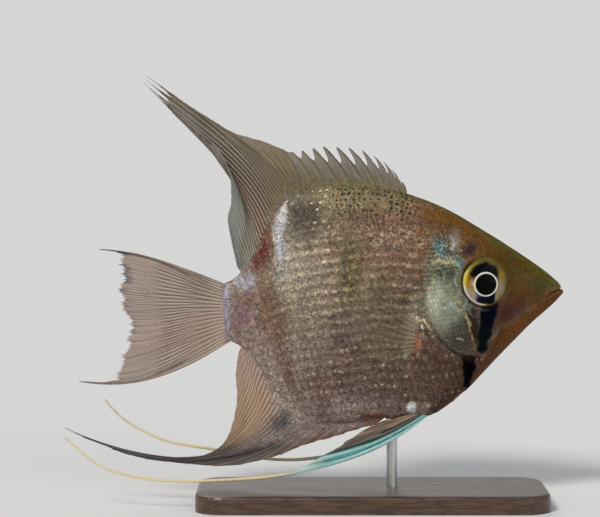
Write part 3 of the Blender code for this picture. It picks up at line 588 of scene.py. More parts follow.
def stroke_layers(x, z):
    """Thin lines with a slight shake. The weaker ones are broken up."""
    shaken = x + 0.35 * wander(x, z, 0.8, 15), z + 0.35 * wander(x, z, 0.8, 16)
    broken = 0.35 + 0.65 * step_up(0.2, 0.55, lattice_noise(x, z, 0.55, 17))
    for line, width, softness, colour, strength in STROKES:
        inside = step_up(width * (1 + softness), width * (1 - softness), to_line(*shaken, line)[0])
        yield strength * inside * (1 if strength > SOLID_STROKE else broken), colour


def socket_shade_layers(x, z):
    """Painted shade in the eye's socket, deepest behind the eye, the socket's pale rim behind, and painted
    shade in the nostril's pit.
    """
    eye = from_eye(x, z)
    behind = step_up(24.5, 21, x + 0.35 * (z - EYE[2]))
    # painted shade in the eye's socket, strongest behind the eye
    yield (0.25 + 0.7 * behind) * step_up(1.1, 1.02, eye), (0.02, 0.012, 0.006)
    yield 0.5 * behind * bell(eye - 1.17, 0.04), (0.13, 0.11, 0.085)
    # painted shade in the nostril's pit
    yield 0.6 * bell(from_nostril(x, z), 0.32), (0.012, 0.008, 0.004)


def markings(x, z):
    """The colours of skin and scales at points of the side view."""
    moved_x = x + 1.2 * wander(x, z, 4, 11) + 0.5 * wander(x, z, 1.1, 12)
    moved_z = z + 1.2 * wander(x, z, 4, 13) + 0.5 * wander(x, z, 1.1, 14)
    colours = read_columns(z, *zip(*BACK_TO_BELLY))
    colours = layered(
        colours, *((strength * oval(moved_x, moved_z, *form), colour) for *form, colour, strength in PATCHES)
    )
    throat, along_jaw = throat_area(moved_x, moved_z)
    throat_colour = layered((0.112, 0.035, 0.002), (step_up(0.35, 0.75, along_jaw), (0.086, 0.029, 0.003)))
    olive_edge = (z > 49) * (0.35 * step_up(-12, -6, x) + 0.3 * step_up(6, 10, x))
    return layered(
        colours,
        (0.97 * throat, throat_colour),
        (bell(rim_distance(x, z), 0.9) * olive_edge, (0.088, 0.086, 0.022)),
        (0.5 * gill_veins(x, z), (0.46, 0.49, 0.36)),
        *stroke_layers(x, z),
        *gill_shade_layers(x, z),
        *socket_shade_layers(x, z),
    )


# ---------------------------------------------------------------- meshes


def grid_faces(columns, rows):
    number = np.arange(columns * rows).reshape(columns, rows)
    return np.stack([number[:-1, :-1], number[1:, :-1], number[1:, 1:], number[:-1, 1:]], -1).reshape(-1, 4)


def tube_faces(rings, spokes):
    """Faces between rings of points, each ring closed on itself."""
    number = np.arange(rings * spokes).reshape(rings, spokes)
    turned = np.roll(number, -1, 1)
    return np.stack([number[:-1], turned[:-1], turned[1:], number[1:]], -1).reshape(-1, 4)


def add_object(name, data):
    obj = bpy.data.objects.new(name, data)
    bpy.context.scene.collection.objects.link(obj)
    return obj


def piece(name, points, faces, look, colours, slot, **maps):
    """A smooth mesh object that rides on the body.

    Colours hold three or four values for each point, and maps are UV maps with a pair for each point."""
    mesh = bpy.data.meshes.new(name)
    faces = faces if isinstance(faces, list) else faces.tolist()
    mesh.from_pydata((np.asarray(points).reshape(-1, 3) * MM).tolist(), [], faces)
    colours = np.asarray(colours).reshape(-1, np.shape(colours)[-1])
    if colours.shape[1] == 3:
        colours = np.concatenate([colours, np.ones((len(colours), 1))], 1)
    layer = mesh.color_attributes.new(name="Markings", type="FLOAT_COLOR", domain="POINT")
    layer.data.foreach_set("color", colours.astype(np.float32).ravel())
    corners = np.empty(len(mesh.loops), np.int32)
    mesh.loops.foreach_get("vertex_index", corners)
    for name_of_map, pairs in maps.items():
        layer = mesh.uv_layers.new(name=name_of_map)
        layer.data.foreach_set("uv", np.asarray(pairs).reshape(-1, 2)[corners].astype(np.float32).ravel())
    mesh.shade_smooth()
    mesh.materials.append(look)
    obj = add_object(name, mesh)
    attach(obj, "root")
    return obj


def values_at(obj, **values):
    """Keeps one number for each point under each name, which the material reads."""
    for name, numbers in values.items():
        layer = obj.data.attributes.new(name=name, type="FLOAT", domain="POINT")
        layer.data.foreach_set("value", np.asarray(numbers).astype(np.float32).ravel())


# ---------------------------------------------------------------- materials


class Nodes:
    """A node tree that grows by short calls. Inputs are numbers, colours or other nodes' outputs."""

    def __init__(self, owner):
        owner.use_nodes = True
        self.tree = owner.node_tree

    def wire(self, socket, value):
        if isinstance(value, bpy.types.NodeSocket):
            self.tree.links.new(value, socket)
        elif value is not None:
            socket.default_value = value if not isinstance(value, tuple) or len(value) != 3 else (*value, 1)

    def node(self, kind, inputs=(), **settings):
        made = self.tree.nodes.new("ShaderNode" + kind)
        for key, value in settings.items():
            setattr(made, key, value)
        for key, value in dict(inputs).items():
            self.wire(made.inputs[key], value)
        return made

    def place(self, kind="Object"):
        return self.node("TexCoord").outputs[kind]

    def stretched(self, scale):
        made = self.node("Mapping", {"Vector": self.place()})
        made.inputs["Scale"].default_value = scale
        return made.outputs["Vector"]

    def noise(self, scale, detail=2, rough=0.5, place=None):
        inputs = {"Vector": place or self.place(), "Scale": scale, "Detail": detail, "Roughness": rough}
        return self.node("TexNoise", inputs).outputs["Fac"]

    def cells(self, scale, place=None, output="Distance"):
        return self.node("TexVoronoi", {"Vector": place or self.place(), "Scale": scale}).outputs[output]

    def span(self, value, low, high, to_low=0, to_high=1):
        keys = {"Value": value, "From Min": low, "From Max": high, "To Min": to_low, "To Max": to_high}
        return self.node("MapRange", keys, interpolation_type="SMOOTHSTEP").outputs["Result"]

    def math(self, operation, a, b=None):
        return self.node("Math", {0: a, 1: b}, operation=operation).outputs[0]

    def times(self, a, b):
        return self.math("MULTIPLY", a, b)

    def plus(self, a, b):
        return self.math("ADD", a, b)

    def mix(self, share, a, b, blend="MIX"):
        return self.node("Mix", {0: share, 6: a, 7: b}, data_type="RGBA", blend_type=blend).outputs[2]

    def tinted(self, colour, red, green, blue):
        """The colour with its three parts multiplied by these."""
        tone = self.node("CombineColor", {0: red, 1: green, 2: blue}).outputs[0]
        return self.mix(1, colour, tone, "MULTIPLY")


class Look(Nodes):
    """A material and its nodes."""

    def __init__(self, name, constants):
        self.material = bpy.data.materials.new(name)
        super().__init__(self.material)
        self.shader = self.tree.nodes["Principled BSDF"]
        for socket, value in constants.items():
            self.shader.inputs[socket].default_value = value

    def marking(self, output="Color"):
        return self.node("Attribute", attribute_name="Markings").outputs[output]

    def value(self, name):
        return self.node("Attribute", attribute_name=name).outputs["Fac"]

    def bump(self, height, strength, depth, below=None):
        inputs = {"Height": height, "Strength": strength, "Distance": depth * MM, "Normal": below}
        return self.node("Bump", inputs).outputs["Normal"]

    def set(self, socket, value):
        self.wire(self.shader.inputs[socket], value)

    def dull_where_black(self):
        """Black markings do not shine. The others keep the specular light and the coat that are set."""
        for socket, least in (("Specular IOR Level", 0.01), ("Coat Weight", 0)):
            most = self.shader.inputs[socket].default_value
            self.set(socket, self.span(self.marking(), 0, 0.03, least, most))


def per_mm(count):
    """A texture scale of this many cells a millimetre."""
    return count / MM


def mottled(look, colour, strength, painted_sparkle_strength):
    """Lays grain-like pigment over a colour: light and dark flecks of slightly varied hue, and painted
    sparkles of reflected light.
    """
    parts = look.node("SeparateColor", {"Color": look.cells(per_mm(2.9), output="Color")})
    fine = look.noise(per_mm(2.3), 3, 0.7)
    broad = look.noise(per_mm(0.5), 2)
    flecks = look.span(parts.outputs[0], 0, 1, 1 - 0.4 * strength, 1 + 0.4 * strength)
    light = look.times(flecks, look.span(fine, 0.32, 0.68, 1 - 0.38 * strength, 1 + 0.42 * strength))
    light = look.times(light, look.span(broad, 0.3, 0.7, 0.9, 1.1))
    red = look.times(light, look.span(parts.outputs[1], 0, 1, 0.88, 1.12))
    blue = look.times(light, look.span(parts.outputs[1], 0, 1, 1.14, 0.86))
    colour = look.tinted(colour, red, light, blue)
    # painted sparkles: bright flecks of reflected light in varied hues, laid into the base colour
    bright = look.times(look.span(parts.outputs[2], 0.72, 1, 0, 0.8), painted_sparkle_strength)
    hues = look.mix(look.span(parts.outputs[0], 0.25, 0.6), (0.4, 0.42, 0.36), (0.66, 0.56, 0.38))
    return look.mix(bright, colour, hues), fine


def skin_look():
    look = Look("skin", {"Coat Weight": 0.05, "Coat Roughness": 0.3, "Specular IOR Level": 0.12})
    colour, fine = mottled(look, look.marking(), 0.55, look.value("glitter"))
    look.set("Base Color", colour)
    look.set("Roughness", look.span(fine, 0.3, 0.7, 0.36, 0.52))
    look.dull_where_black()
    pores = look.bump(look.cells(per_mm(2.2)), 0.3, 0.05)
    look.set("Normal", look.bump(fine, 0.4, 0.06, pores))
    return look.material


def scale_look(name, strength):
    """Each scale's dots and its gold line are drawn from its own two directions, along and beside."""
    constants = {"Coat Weight": 0.1, "Coat Roughness": 0.3, "Specular IOR Level": 0.2, "Metallic": 0.12}
    look = Look(name, constants)
    along_scale, beside = look.value("along"), look.times(look.value("beside"), 0.65)
    shifted = look.plus(along_scale, 0.16)
    uneven = look.noise(per_mm(0.9), 2)
    from_dot = look.math("SQRT", look.plus(look.times(shifted, shifted), look.times(beside, beside)))
    from_dot = look.plus(from_dot, look.span(uneven, 0.3, 0.7, -0.05, 0.05))
    from_line = look.math("ABSOLUTE", look.plus(beside, look.span(uneven, 0.3, 0.7, -0.06, 0.14)))
    gold = look.times(look.value("gold"), look.span(look.noise(per_mm(0.55), 2), 0.36, 0.58, 0.25, 1))
    colour = look.mix(look.times(look.span(from_line, 0.28, 0.06), gold), look.marking(), (0.56, 0.45, 0.3))
    colour, fine = mottled(look, colour, strength, look.value("glitter"))
    # tone holds each scale's random tone and the painted shade at its hind edge and sides
    tone = look.value("tone")
    colour = look.tinted(colour, tone, tone, tone)
    for share, kind, paint in (
        (look.span(along_scale, -0.42, -0.62), "spot", (0.03, 0.022, 0.012)),  # the scale's hind edge
        (look.span(look.cells(per_mm(0.95)), 0.26, 0.14), "dusky", (0.016, 0.012, 0.005)),
        (look.span(from_dot, 0.21, 0.12), "spot", (0.01, 0.007, 0.003)),
        (look.span(from_dot, 0.2, 0.04), "light", (0.64, 0.58, 0.46)),
    ):
        colour = look.mix(look.times(share, look.value(kind)), colour, paint)
    look.set("Base Color", colour)
    look.set("Roughness", look.span(fine, 0.3, 0.7, 0.34, 0.52))
    look.dull_where_black()
    look.set("Normal", look.bump(fine, 0.35, 0.05))
    return look.material


def fin_look(name, joints):
    """Rays and membrane come from the mesh's own colours, and fine joints across the rays from nodes."""
    constants = {"Coat Weight": 0.08, "Coat Roughness": 0.3, "Roughness": 0.5, "Specular IOR Level": 0.2}
    look = Look(name, constants)
    scaly, fine = mottled(look, look.marking(), 0.85, 0.1)
    colour = look.mix(look.span(fine, 0.45, 0.75, 0, 0.22), look.marking(), (0.04, 0.028, 0.018))
    colour = look.mix(look.span(fine, 0.42, 0.2, 0, 0.1), colour, (0.6, 0.54, 0.45))
    spread = look.node("UVMap", uv_map="RayUV").outputs["UV"]
    across = look.node("SeparateXYZ", {"Vector": spread}).outputs["Y"]
    wave = look.math("PINGPONG", look.times(across, joints), 0.5)
    crossed = look.times(look.span(wave, 0.4, 0.5), look.value("ridge"))
    look.set("Base Color", look.mix(look.value("scaly"), colour, scaly))
    look.set("Alpha", look.marking("Alpha"))
    look.set("Normal", look.bump(look.plus(fine, crossed), 0.25, 0.05))
    return look.material


# ---------------------------------------------------------------- skin and scales


def skin_grid():
    """Stations and turns of the skin's points, closest together in the head and at the body's ends."""
    head_rings = int(SKIN_RINGS * HEAD_SHARE)
    head = HEAD_END * np.linspace(0, 1, head_rings, endpoint=False) ** 1.15
    rest = np.linspace(HEAD_END, LAST, SKIN_RINGS - head_rings)
    tail_end = LAST - TAIL_ROUNDING * (1 - np.sin(np.linspace(0, math.pi / 2, 7)))
    place = np.concatenate([head, rest[rest < LAST - TAIL_ROUNDING], tail_end])
    return np.meshgrid(place, np.linspace(0, math.pi, SKIN_ARCS), indexing="ij")


def make_skin():
    """Both sides from one grid. They share the points of the back, of the belly and of the two ends."""
    place, turn = skin_grid()
    left = skin_point(place, turn)
    left[:, [0, -1], 1] = 0
    left[[0, -1], :, 1] = 0
    right = left * (1, -1, 1)
    number = np.arange(place.size).reshape(place.shape)
    mirrored = number + place.size
    mirrored[:, [0, -1]] = number[:, [0, -1]]
    mirrored[[0, -1], :] = number[[0, -1], :]
    left_faces = grid_faces(*place.shape)
    right_faces = mirrored.ravel()[left_faces[:, [0, 3, 2, 1]]]
    used, faces = np.unique(np.concatenate([left_faces, right_faces]), return_inverse=True)
    points = np.concatenate([left.reshape(-1, 3), right.reshape(-1, 3)])[used]
    flat = base_point(place, turn).reshape(-1, 3)
    flat = np.concatenate([flat, flat])[used]
    colours = markings(flat[:, 0], flat[:, 2])
    skin = piece("skin", points, faces.reshape(-1, 4), skin_look(), colours, "skin")
    values_at(skin, glitter=glitter(flat[:, 0], flat[:, 2]) * lit_part(colours))
    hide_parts("head", "lower_jaw", "gill_cover_right", "gill_cover_left", "trunk", "tail_stalk")


PLACE_STEPS, TURN_STEPS = 240, 180  # of the table in which a scale's place is looked up


def find_places(x, across):
    """Stations and turns of points with this x, and this distance along the section from the widest line."""
    step, pull, near = 0.05, 0.8, 0.3
    places = np.linspace(0, LAST, PLACE_STEPS + 1)
    turns = np.linspace(0, math.pi, TURN_STEPS + 1)
    table = base_point(*np.meshgrid(places, turns, indexing="ij"))
    steps = np.linalg.norm(np.diff(table, axis=1), axis=2)
    lengths = np.concatenate([np.zeros((len(places), 1)), np.cumsum(steps, 1)], 1)
    widest = int(np.argmin(abs(-np.cos(turns) - WIDEST)))
    lengths -= lengths[:, widest : widest + 1]
    place, turn = np.full(x.shape, LAST / 2), np.full(x.shape, math.pi / 2)
    pick = np.arange(len(x))
    for _ in range(12):
        exact = place / LAST * PLACE_STEPS
        low = np.clip(exact.astype(int), 0, PLACE_STEPS - 1)
        mix = (exact - low)[:, None]
        rows = lengths[low] * (1 - mix) + lengths[low + 1] * mix
        inside = (across > rows[:, 0]) & (across < rows[:, -1])
        index = np.clip((rows < across[:, None]).sum(1) - 1, 0, TURN_STEPS - 1)
        part = (across - rows[pick, index]) / (rows[pick, index + 1] - rows[pick, index])
        turn = np.clip((index + part) * math.pi / TURN_STEPS, 0, math.pi)
        here, there = (base_point(np.clip(place + way, 0, LAST), turn)[:, 0] for way in (0, step))
        place = place + pull * (x - here) / np.minimum((there - here) / step, -1)
        place = np.clip(place, step, LAST - step)
    reached = abs(base_point(place, turn)[:, 0] - x) < near
    return place, turn, inside & reached


# How steeply the rows of scales rise at these x, and how far the upper rows have sunk with the back.
MIDDLE_SLOPES = (-26, -16, -2, 5, 14), (0.22, 0.17, 0.1, 0.08, 0.04)
BACK_ROWS = (-22, -15.5, -7, 2, 11.5, 18.5, 25, 33), (-4.5, -1.2, 0, 0, -2.4, -5.6, -9.2, -15)


def row_rise(x, across):
    """How far a row of scales has climbed at x. Upper rows follow the back, and the others rise forwards."""
    dense = np.linspace(-36, 42, 157)
    climb = np.cumsum(np.interp(dense, *MIDDLE_SLOPES)) * (dense[1] - dense[0])
    middle = np.interp(x, dense, climb) - np.interp(2, dense, climb)
    top = step_up(10, 25, across)
    return middle * (1 - top) + np.interp(x, *BACK_ROWS) * top


def near_back(x, z):
    return z + 0.1 * x > 59.5


def in_throat(x, z):
    _, side, share = to_line(x, z, THROAT_LINE)
    return (side > 0) & (share < 0.97) & (x > 19)


def before_gill_edge(x, z):
    """The distance in front of the gill cover's hind edge, drawn on to the back. It is negative behind it."""
    distance, side, _ = to_line(x, z, ((11.5, 76), *GILL_EDGE))
    return distance * side


def on_flank(x, z):
    """True where the large scales lie."""
    seat = oval(x, z, PECTORAL_SEAT, (1, 3.8), -6, 0.1) < 0.5
    return (before_gill_edge(x, z) < -0.25) & seat & (x > -32.6) & ~in_throat(x, z)


def on_cheek(x, z):
    """True where the small scales lie: not on the snout, the jaws, the forehead and the eye."""
    cover = oval(x, z, (17.5, 47), (5.6, 14), 14, 0.05) > 0.5
    nape = oval(x, z, (14, 62.5), (6, 5), -25, 0.05) > 0.5
    kept = (before_gill_edge(x, z) > 0.35) & (from_eye(x, z) > 1.32)
    return kept & (cover | nape) & (x < 27) & ~in_throat(x, z)


def scale_field(pitch, seed, keep, jitter=0.06):
    """The middles of scales in staggered rows, kept where keep(x, z) says so."""
    length, height = pitch
    rng = np.random.default_rng(seed)
    rows = np.arange(-20 * height, 20 * height, height)
    x, across = np.meshgrid(np.arange(*SCALED_LENGTH, length), rows)
    x = x + (np.arange(len(rows)) % 2)[:, None] * length / 2
    across = across + row_rise(x, across)
    x = x + rng.normal(0, jitter, x.shape) * length
    across = across + rng.normal(0, jitter / 2, x.shape) * height
    x, across = x.ravel(), across.ravel()
    place, turn, found = find_places(x, across)
    middle = base_point(place, turn)
    found &= keep(middle[:, 0], middle[:, 2])
    return place[found], turn[found], across[found]


def scale_form(back_steps, side_steps):
    """A scale's grid of shares back and across, its outline along and beside, and how far it is raised."""
    backwards = np.concatenate([np.linspace(0, 1, back_steps), [1]])
    back, across = np.meshgrid(backwards, np.linspace(-1, 1, side_steps), indexing="ij")
    round_end = np.sqrt(np.clip(1 - (0.97 * across) ** 2, 0, 1))
    along_scale = SCALE_FRONT - back * (SCALE_FRONT + SCALE_HIND * round_end)
    beside = across * (0.8 + 0.2 * np.sqrt(np.clip(1 - (1.6 * (back - 0.5)) ** 2, 0, 1)))
    raised = -0.35 + 1.35 * back**1.2 + 0.3 * (1 - across**2)
    raised[-1] = -0.5  # the hind edge turns down to the skin
    return back, across, along_scale, beside, raised


def scale_axes(place, turn, slope):
    """Each scale's directions along and beside, which lie in the body's surface."""
    forward = np.stack([np.cos(slope), np.zeros(len(slope)), np.sin(slope)], -1)
    normal = normal_of(place, turn)
    forward = unit(forward - normal * (forward * normal).sum(1, keepdims=True))
    beside = np.cross(forward, normal)
    return forward, beside * np.sign((beside * tangents(place, turn)[1]).sum(1, keepdims=True))


def spread_from(place, turn, wanted):
    """Stations and turns of points that lie these vectors away from the scales' middles, on the surface."""
    ahead, up = tangents(place, turn)
    aa, au, uu = (((a * b).sum(1))[:, None, None] for a, b in ((ahead, ahead), (ahead, up), (up, up)))
    ahead_part, up_part = ((wanted * axis[:, None, None]).sum(-1) for axis in (ahead, up))
    area = aa * uu - au**2
    point_place = place[:, None, None] - (ahead_part * uu - up_part * au) / area
    point_turn = turn[:, None, None] + (up_part * aa - ahead_part * au) / area
    return np.clip(point_place, 0.02, LAST - 0.02), np.clip(point_turn, 0, math.pi)


MIDDLE_BAR = (-4.9, 52), (2.8, 9.5), 3, 0.5
CREAMY_BACK = (-10.8, 67.6), (3.6, 4.4), 0, 0.5
HIND_BAR = (-20.5, 41), (2.2, 9), 12, 0.6
WIDE_HIND_BAR = (-21.5, 42), (2.6, 9), 12, 0.6
CHEST = (15, 26), (11, 8), -38, 0.6
UPPER_FLANK = (-2, 61), (10, 3), 0, 0.6
# Strength and form of the golden areas, and the least share of it that a scale there gets.
GOLDEN = (
    (0.8, ((-10.5, 50.5), (8.5, 10), -4, 0.6), 0.5),
    (0.4, ((5, 51), (9, 11), -4, 0.6), 0.5),
    (0.2, ((-5, 41), (18, 14), 0, 0.6), 0.3),
)


def scale_paint(x, z, rng):
    """How golden, dark-spotted, dusky and light-spotted each scale is, how strongly painted sparkles of light
    lie on it, and shifts of its dots.
    """
    count = len(x)
    bar, creamy = oval(x, z, *MIDDLE_BAR), oval(x, z, *CREAMY_BACK)
    golden = 0
    for strength, form, least in GOLDEN:
        golden = np.maximum(golden, strength * oval(x, z, *form) * rng.uniform(least, 1, count))
    aside = rng.normal(0, 0.06, (2, count, 1, 1))
    back_part = step_up(58, 67, z + 0.16 * x) * step_up(-19, -15, x)
    dark = back_part * (rng.random(count) < 0.88 - 0.6 * creamy) * rng.uniform(0.7, 1, count)
    spotted = (0.5, bar, 0.4), (0.7, oval(x, z, *HIND_BAR), 0.3), (0.5, oval(x, z, *CHEST), 0.5)
    for strength, area, share in spotted:
        dark = np.maximum(dark, strength * area * (rng.random(count) < share))
    dusky = np.max([0.8 * bar, 0.4 * back_part, 0.5 * oval(x, z, *WIDE_HIND_BAR)], 0)
    light = step_up(44, 30, z) * step_up(14, 4, x) * rng.uniform(0, 1, count) ** 2.2
    light = np.maximum(light, 0.35 * step_up(6, 14, x) * rng.uniform(0, 1, count) ** 2)
    light = np.maximum(light, 4.5 * creamy * (dark < 0.3) * np.maximum(rng.random(count) - 0.3, 0))
    few = (rng.random(count) < 0.2) * rng.random(count)
    light = np.maximum(light, oval(x, z, *UPPER_FLANK) * few)
    lit = lit_part(markings(x, z))
    one_each = {"gold": golden * (1 - 0.15 * bar), "spot": 0.95 * dark, "dusky": dusky, "light": 0.9 * light}
    one_each = {name: lit * values for name, values in one_each.items()}
    return {**one_each, "glitter": glitter(x, z)}, aside


def lay_scales(name, side, field, size, material, detail, lift, seed):
    """Joined thin plates. Each overlaps the one behind it, and its hind edge turns down to the skin.

    detail is the number of steps back and across, and lift is how far a scale stands off the skin."""
    place, turn, level = field
    count = len(place)
    middle = base_point(place, turn)
    rng = np.random.default_rng(seed)
    lengths, heights = (size * rng.normal(1, 0.04, count)[:, None]).T[..., None, None]
    back, across, along_scale, beside, raised = scale_form(*detail)
    slope = row_rise(middle[:, 0] + 0.5, level) - row_rise(middle[:, 0] - 0.5, level)
    slope = slope + rng.normal(0, 0.03, count)
    forward, sidewards = (axis[:, None, None] for axis in scale_axes(place, turn, slope))
    wanted = forward * (along_scale * lengths)[..., None] + sidewards * (beside * heights)[..., None]
    point_place, point_turn = spread_from(place, turn, wanted)
    height = lift * raised * (0.85 + 0.3 * rng.random(count))[:, None, None]
    points = skin_point(point_place, point_turn, height)
    points[..., 1] *= side

    faces = grid_faces(*back.shape) + (np.arange(count) * back.size)[:, None, None]
    faces = faces.reshape(-1, 4)
    if side > 0:
        faces = faces[:, ::-1]
    flat = base_point(point_place, point_turn)
    colours = markings(flat[..., 0].ravel(), flat[..., 2].ravel())
    spot = [place / LAST * 0.96 + 0.02, 0.25 + side * 0.24 * (turn / math.pi - 0.5) + (side > 0) * 0.5]
    centred = (2 * along_scale - SCALE_FRONT + SCALE_HIND) / (SCALE_FRONT + SCALE_HIND)
    patch = np.stack([centred, beside], -1) * BAKE_PATCH
    baked = np.stack(spot, -1)[:, None, None] + patch
    obj = piece(name, points, faces, material, colours, "skin", OFBake=baked)
    # painted shade: each scale's random tone is darkened towards its hind edge and its sides, where the
    # scales overlap
    tone = rng.normal(1.06, 0.09, count)[:, None, None] * (1 - 0.18 * back**5 - 0.2 * across**2)
    paint, aside = scale_paint(middle[:, 0], middle[:, 2], rng)
    rounder = np.where(near_back(middle[:, 0], middle[:, 2]), 0.65, 1)[:, None, None]
    values_at(obj, tone=tone, along=along_scale + aside[0], beside=(beside + aside[1]) * rounder)
    values_at(obj, **{kind: np.broadcast_to(one[:, None, None], tone.shape) for kind, one in paint.items()})


# Shares of a scale's full size at these heights, and at these x.
SIZE_BY_HEIGHT = (18, 24, 34, 60, 68, 72), (0.85, 0.95, 1, 1, 0.95, 0.85)
SIZE_BY_X = (-33, -24, -14), (0.75, 0.9, 1)
SMALL_SCALED_CORNER = (-17, 69), (8, 6), 0, 0.5
CHEEK_SCALE = np.array([(0.95, 0.6)])


def flank_size(field):
    """Lengths and heights of the large scales. Those near the back are longer and lower."""
    x, _, z = base_point(*field[:2]).T
    shrink = np.interp(z, *SIZE_BY_HEIGHT) * np.interp(x, *SIZE_BY_X)
    shrink = shrink * (1 - 0.45 * oval(x, z, *SMALL_SCALED_CORNER))
    upper = near_back(x, z)
    return np.stack([(2 + 0.35 * upper) * shrink + 0.2, (1.3 - 0.45 * upper) * shrink + 0.12], -1)


def make_scales():
    large, small = scale_look("scales", 0.85), scale_look("small_scales", 0.32)
    fields = (
        scale_field((1.49, 2.27), 3, lambda x, z: on_flank(x, z) & ~near_back(x, z)),
        scale_field((1.9, 1.34), 5, lambda x, z: on_flank(x, z) & near_back(x, z), jitter=0.1),
    )
    flank = [np.concatenate(parts) for parts in zip(*fields)]
    cheek = scale_field((0.8, 1), 4, on_cheek)
    for word, side in SIDES.items():
        lay_scales("scales_" + word, side, flank, flank_size(flank), large, (8, 11), lift=0.075, seed=21)
        lay_scales("small_scales_" + word, side, cheek, CHEEK_SCALE, small, (4, 5), lift=0.03, seed=22)


# ---------------------------------------------------------------- fins


def ridge(place, side):
    """Points along the back (side 1) or the belly (side -1) in the side view, and the way out of the body."""
    columns = slice(0, 2) if side > 0 else slice(2, 4)
    step = 0.02
    forward = unit(stations(place - step)[..., columns] - stations(place + step)[..., columns])
    outward = np.stack([-forward[..., 1], forward[..., 0]], -1) * side
    return stations(place)[..., columns], outward


def root_width(place, side):
    """The body's half width where the rays start, at ROOT_DEPTH under its ridge."""
    rows = stations(place)
    share = 2 * ROOT_DEPTH / np.linalg.norm(rows[..., 0:2] - rows[..., 2:4], axis=-1)
    return base_point(place, np.arccos(side * (share - 1)))[..., 1]


def ray_fan(bases, tips, angles, share, t, reach=0.38):
    """Curves from bases to tips in the side view, that leave and arrive at these angles.

    t holds how far along its curve each point lies, for every column or for all of them."""
    places, *leave_and_arrive = np.asarray(angles, float).T
    chord = np.linalg.norm(tips - bases, axis=1, keepdims=True)
    handles = []
    for degrees in leave_and_arrive:
        turned = np.radians(np.interp(share, places, degrees))
        handles.append(reach * chord * np.stack([np.cos(turned), np.sin(turned)], 1))
    first, second = (bases + handles[0])[:, None], (tips - handles[1])[:, None]
    t = np.broadcast_to(t, (len(bases), t.shape[-1]))[..., None]
    ends = (1 - t) ** 3 * bases[:, None] + t**3 * tips[:, None]
    return ends + 3 * (1 - t) ** 2 * t * first + 3 * (1 - t) * t**2 * second


def fan_grid(rays, per_ray, steps):
    """The number of the ray, counted from 0, and the share of the fin at each column, and shares of a ray."""
    phase = np.linspace(0, rays - 1, (rays - 1) * per_ray + 1)
    return phase, phase / (rays - 1), np.linspace(0, 1, steps)


def between_rays(phase, power):
    """0 on a ray and 1 halfway to the next."""
    return (1 - abs(2 * (phase % 1) - 1)) ** power


def nearest_ray(phase, t, forks, width=0.17):
    """The signed distance to the nearest branch of a ray, in shares of that branch's own half width.

    Rays lie at whole numbers of phase, and fork twice, from these places along them."""
    opened = [step_up(start, start + length, t) for start, length in zip(forks, FORK_LENGTHS)]
    part = phase - np.round(phase)
    best = np.full(np.broadcast(phase, t).shape, 9)
    for one in (-1, 1):
        for two in (-1, 1):
            away = part - (one * 0.25 * opened[0] + two * 0.125 * opened[1])
            away = away - np.round(away)
            best = np.where(abs(away) < abs(best), away, best)
    return best / (width * (1 - 0.35 * opened[0] - 0.3 * opened[1]))


def ragged(phase, seed, strength):
    """Fine random fraying of a fin's margin, a value for each column."""
    count, steps_per_ray = 400, 4
    steps = np.random.default_rng(seed).random(count)
    return strength * np.interp((phase * steps_per_ray) % (count - 1), np.arange(count), steps)


def plate(name, middle, half, colours, alpha, ridges, look, scaly):
    """A closed thin sheet: both faces of a grid and its rim. half is half the thickness at each point."""
    columns, rows = middle.shape[:2]
    normal = np.cross(np.gradient(middle, axis=0), np.gradient(middle, axis=1))
    normal /= np.maximum(np.linalg.norm(normal, axis=-1, keepdims=True), 1e-9)
    thick = normal * half[..., None]
    points = np.stack([middle + thick, middle - thick])
    faces = grid_faces(columns, rows)
    count = columns * rows
    number = np.arange(count).reshape(columns, rows)
    border = np.concatenate([number[:-1, 0], number[-1, :-1], number[:0:-1, -1], number[0, :0:-1]])
    following = np.roll(border, -1)
    rim = np.stack([border, following, following + count, border + count], -1)
    all_faces = np.concatenate([faces, faces[:, ::-1] + count, rim[:, ::-1]])
    spread = np.stack(np.meshgrid(np.linspace(0, 1, columns), np.linspace(0, 1, rows), indexing="ij"), -1)
    colours = np.concatenate([np.broadcast_to(colours, middle.shape), alpha[..., None]], -1)
    obj = piece(name, points, all_faces, look, [colours] * 2, "fin", RayUV=[spread] * 2)
    values_at(obj, ridge=[ridges] * 2, scaly=[np.broadcast_to(scaly, ridges.shape)] * 2)
    return obj


def upright(side_view, sway, ripple, t):
    """Side-view points on the middle plane, bent sideways towards the margin, with a slight ripple."""
    y = sway * t**2 + ripple * t**1.5
    return np.stack([side_view[..., 0], np.broadcast_to(y, side_view.shape[:2]), side_view[..., 1]], -1)


def spiny_part(fin, side, t, per_spine=16):
    """Columns of points from the first spine up to the last, with a notch in the margin behind each spine."""
    last = len(fin["spines"]) - 1
    phase = np.linspace(0, last, per_spine * last + 1)[:-1]
    places = along(np.array(fin["spine_places"])[:, None], phase)[:, 0]
    line, outward = ridge(places, side)
    behind = phase % 1
    notch = np.minimum(step_up(0.05, 0.85, behind), (1 - behind) / 0.08)
    length = 1 - fin["notches"] * notch * step_up(last, last - 5, phase) ** 0.5
    bases, tips = line - ROOT_DEPTH * outward, along(fin["spines"], phase)
    return ray_fan(bases, tips, fin["spine_angles"], phase / last, t * length[:, None]), phase - last, places


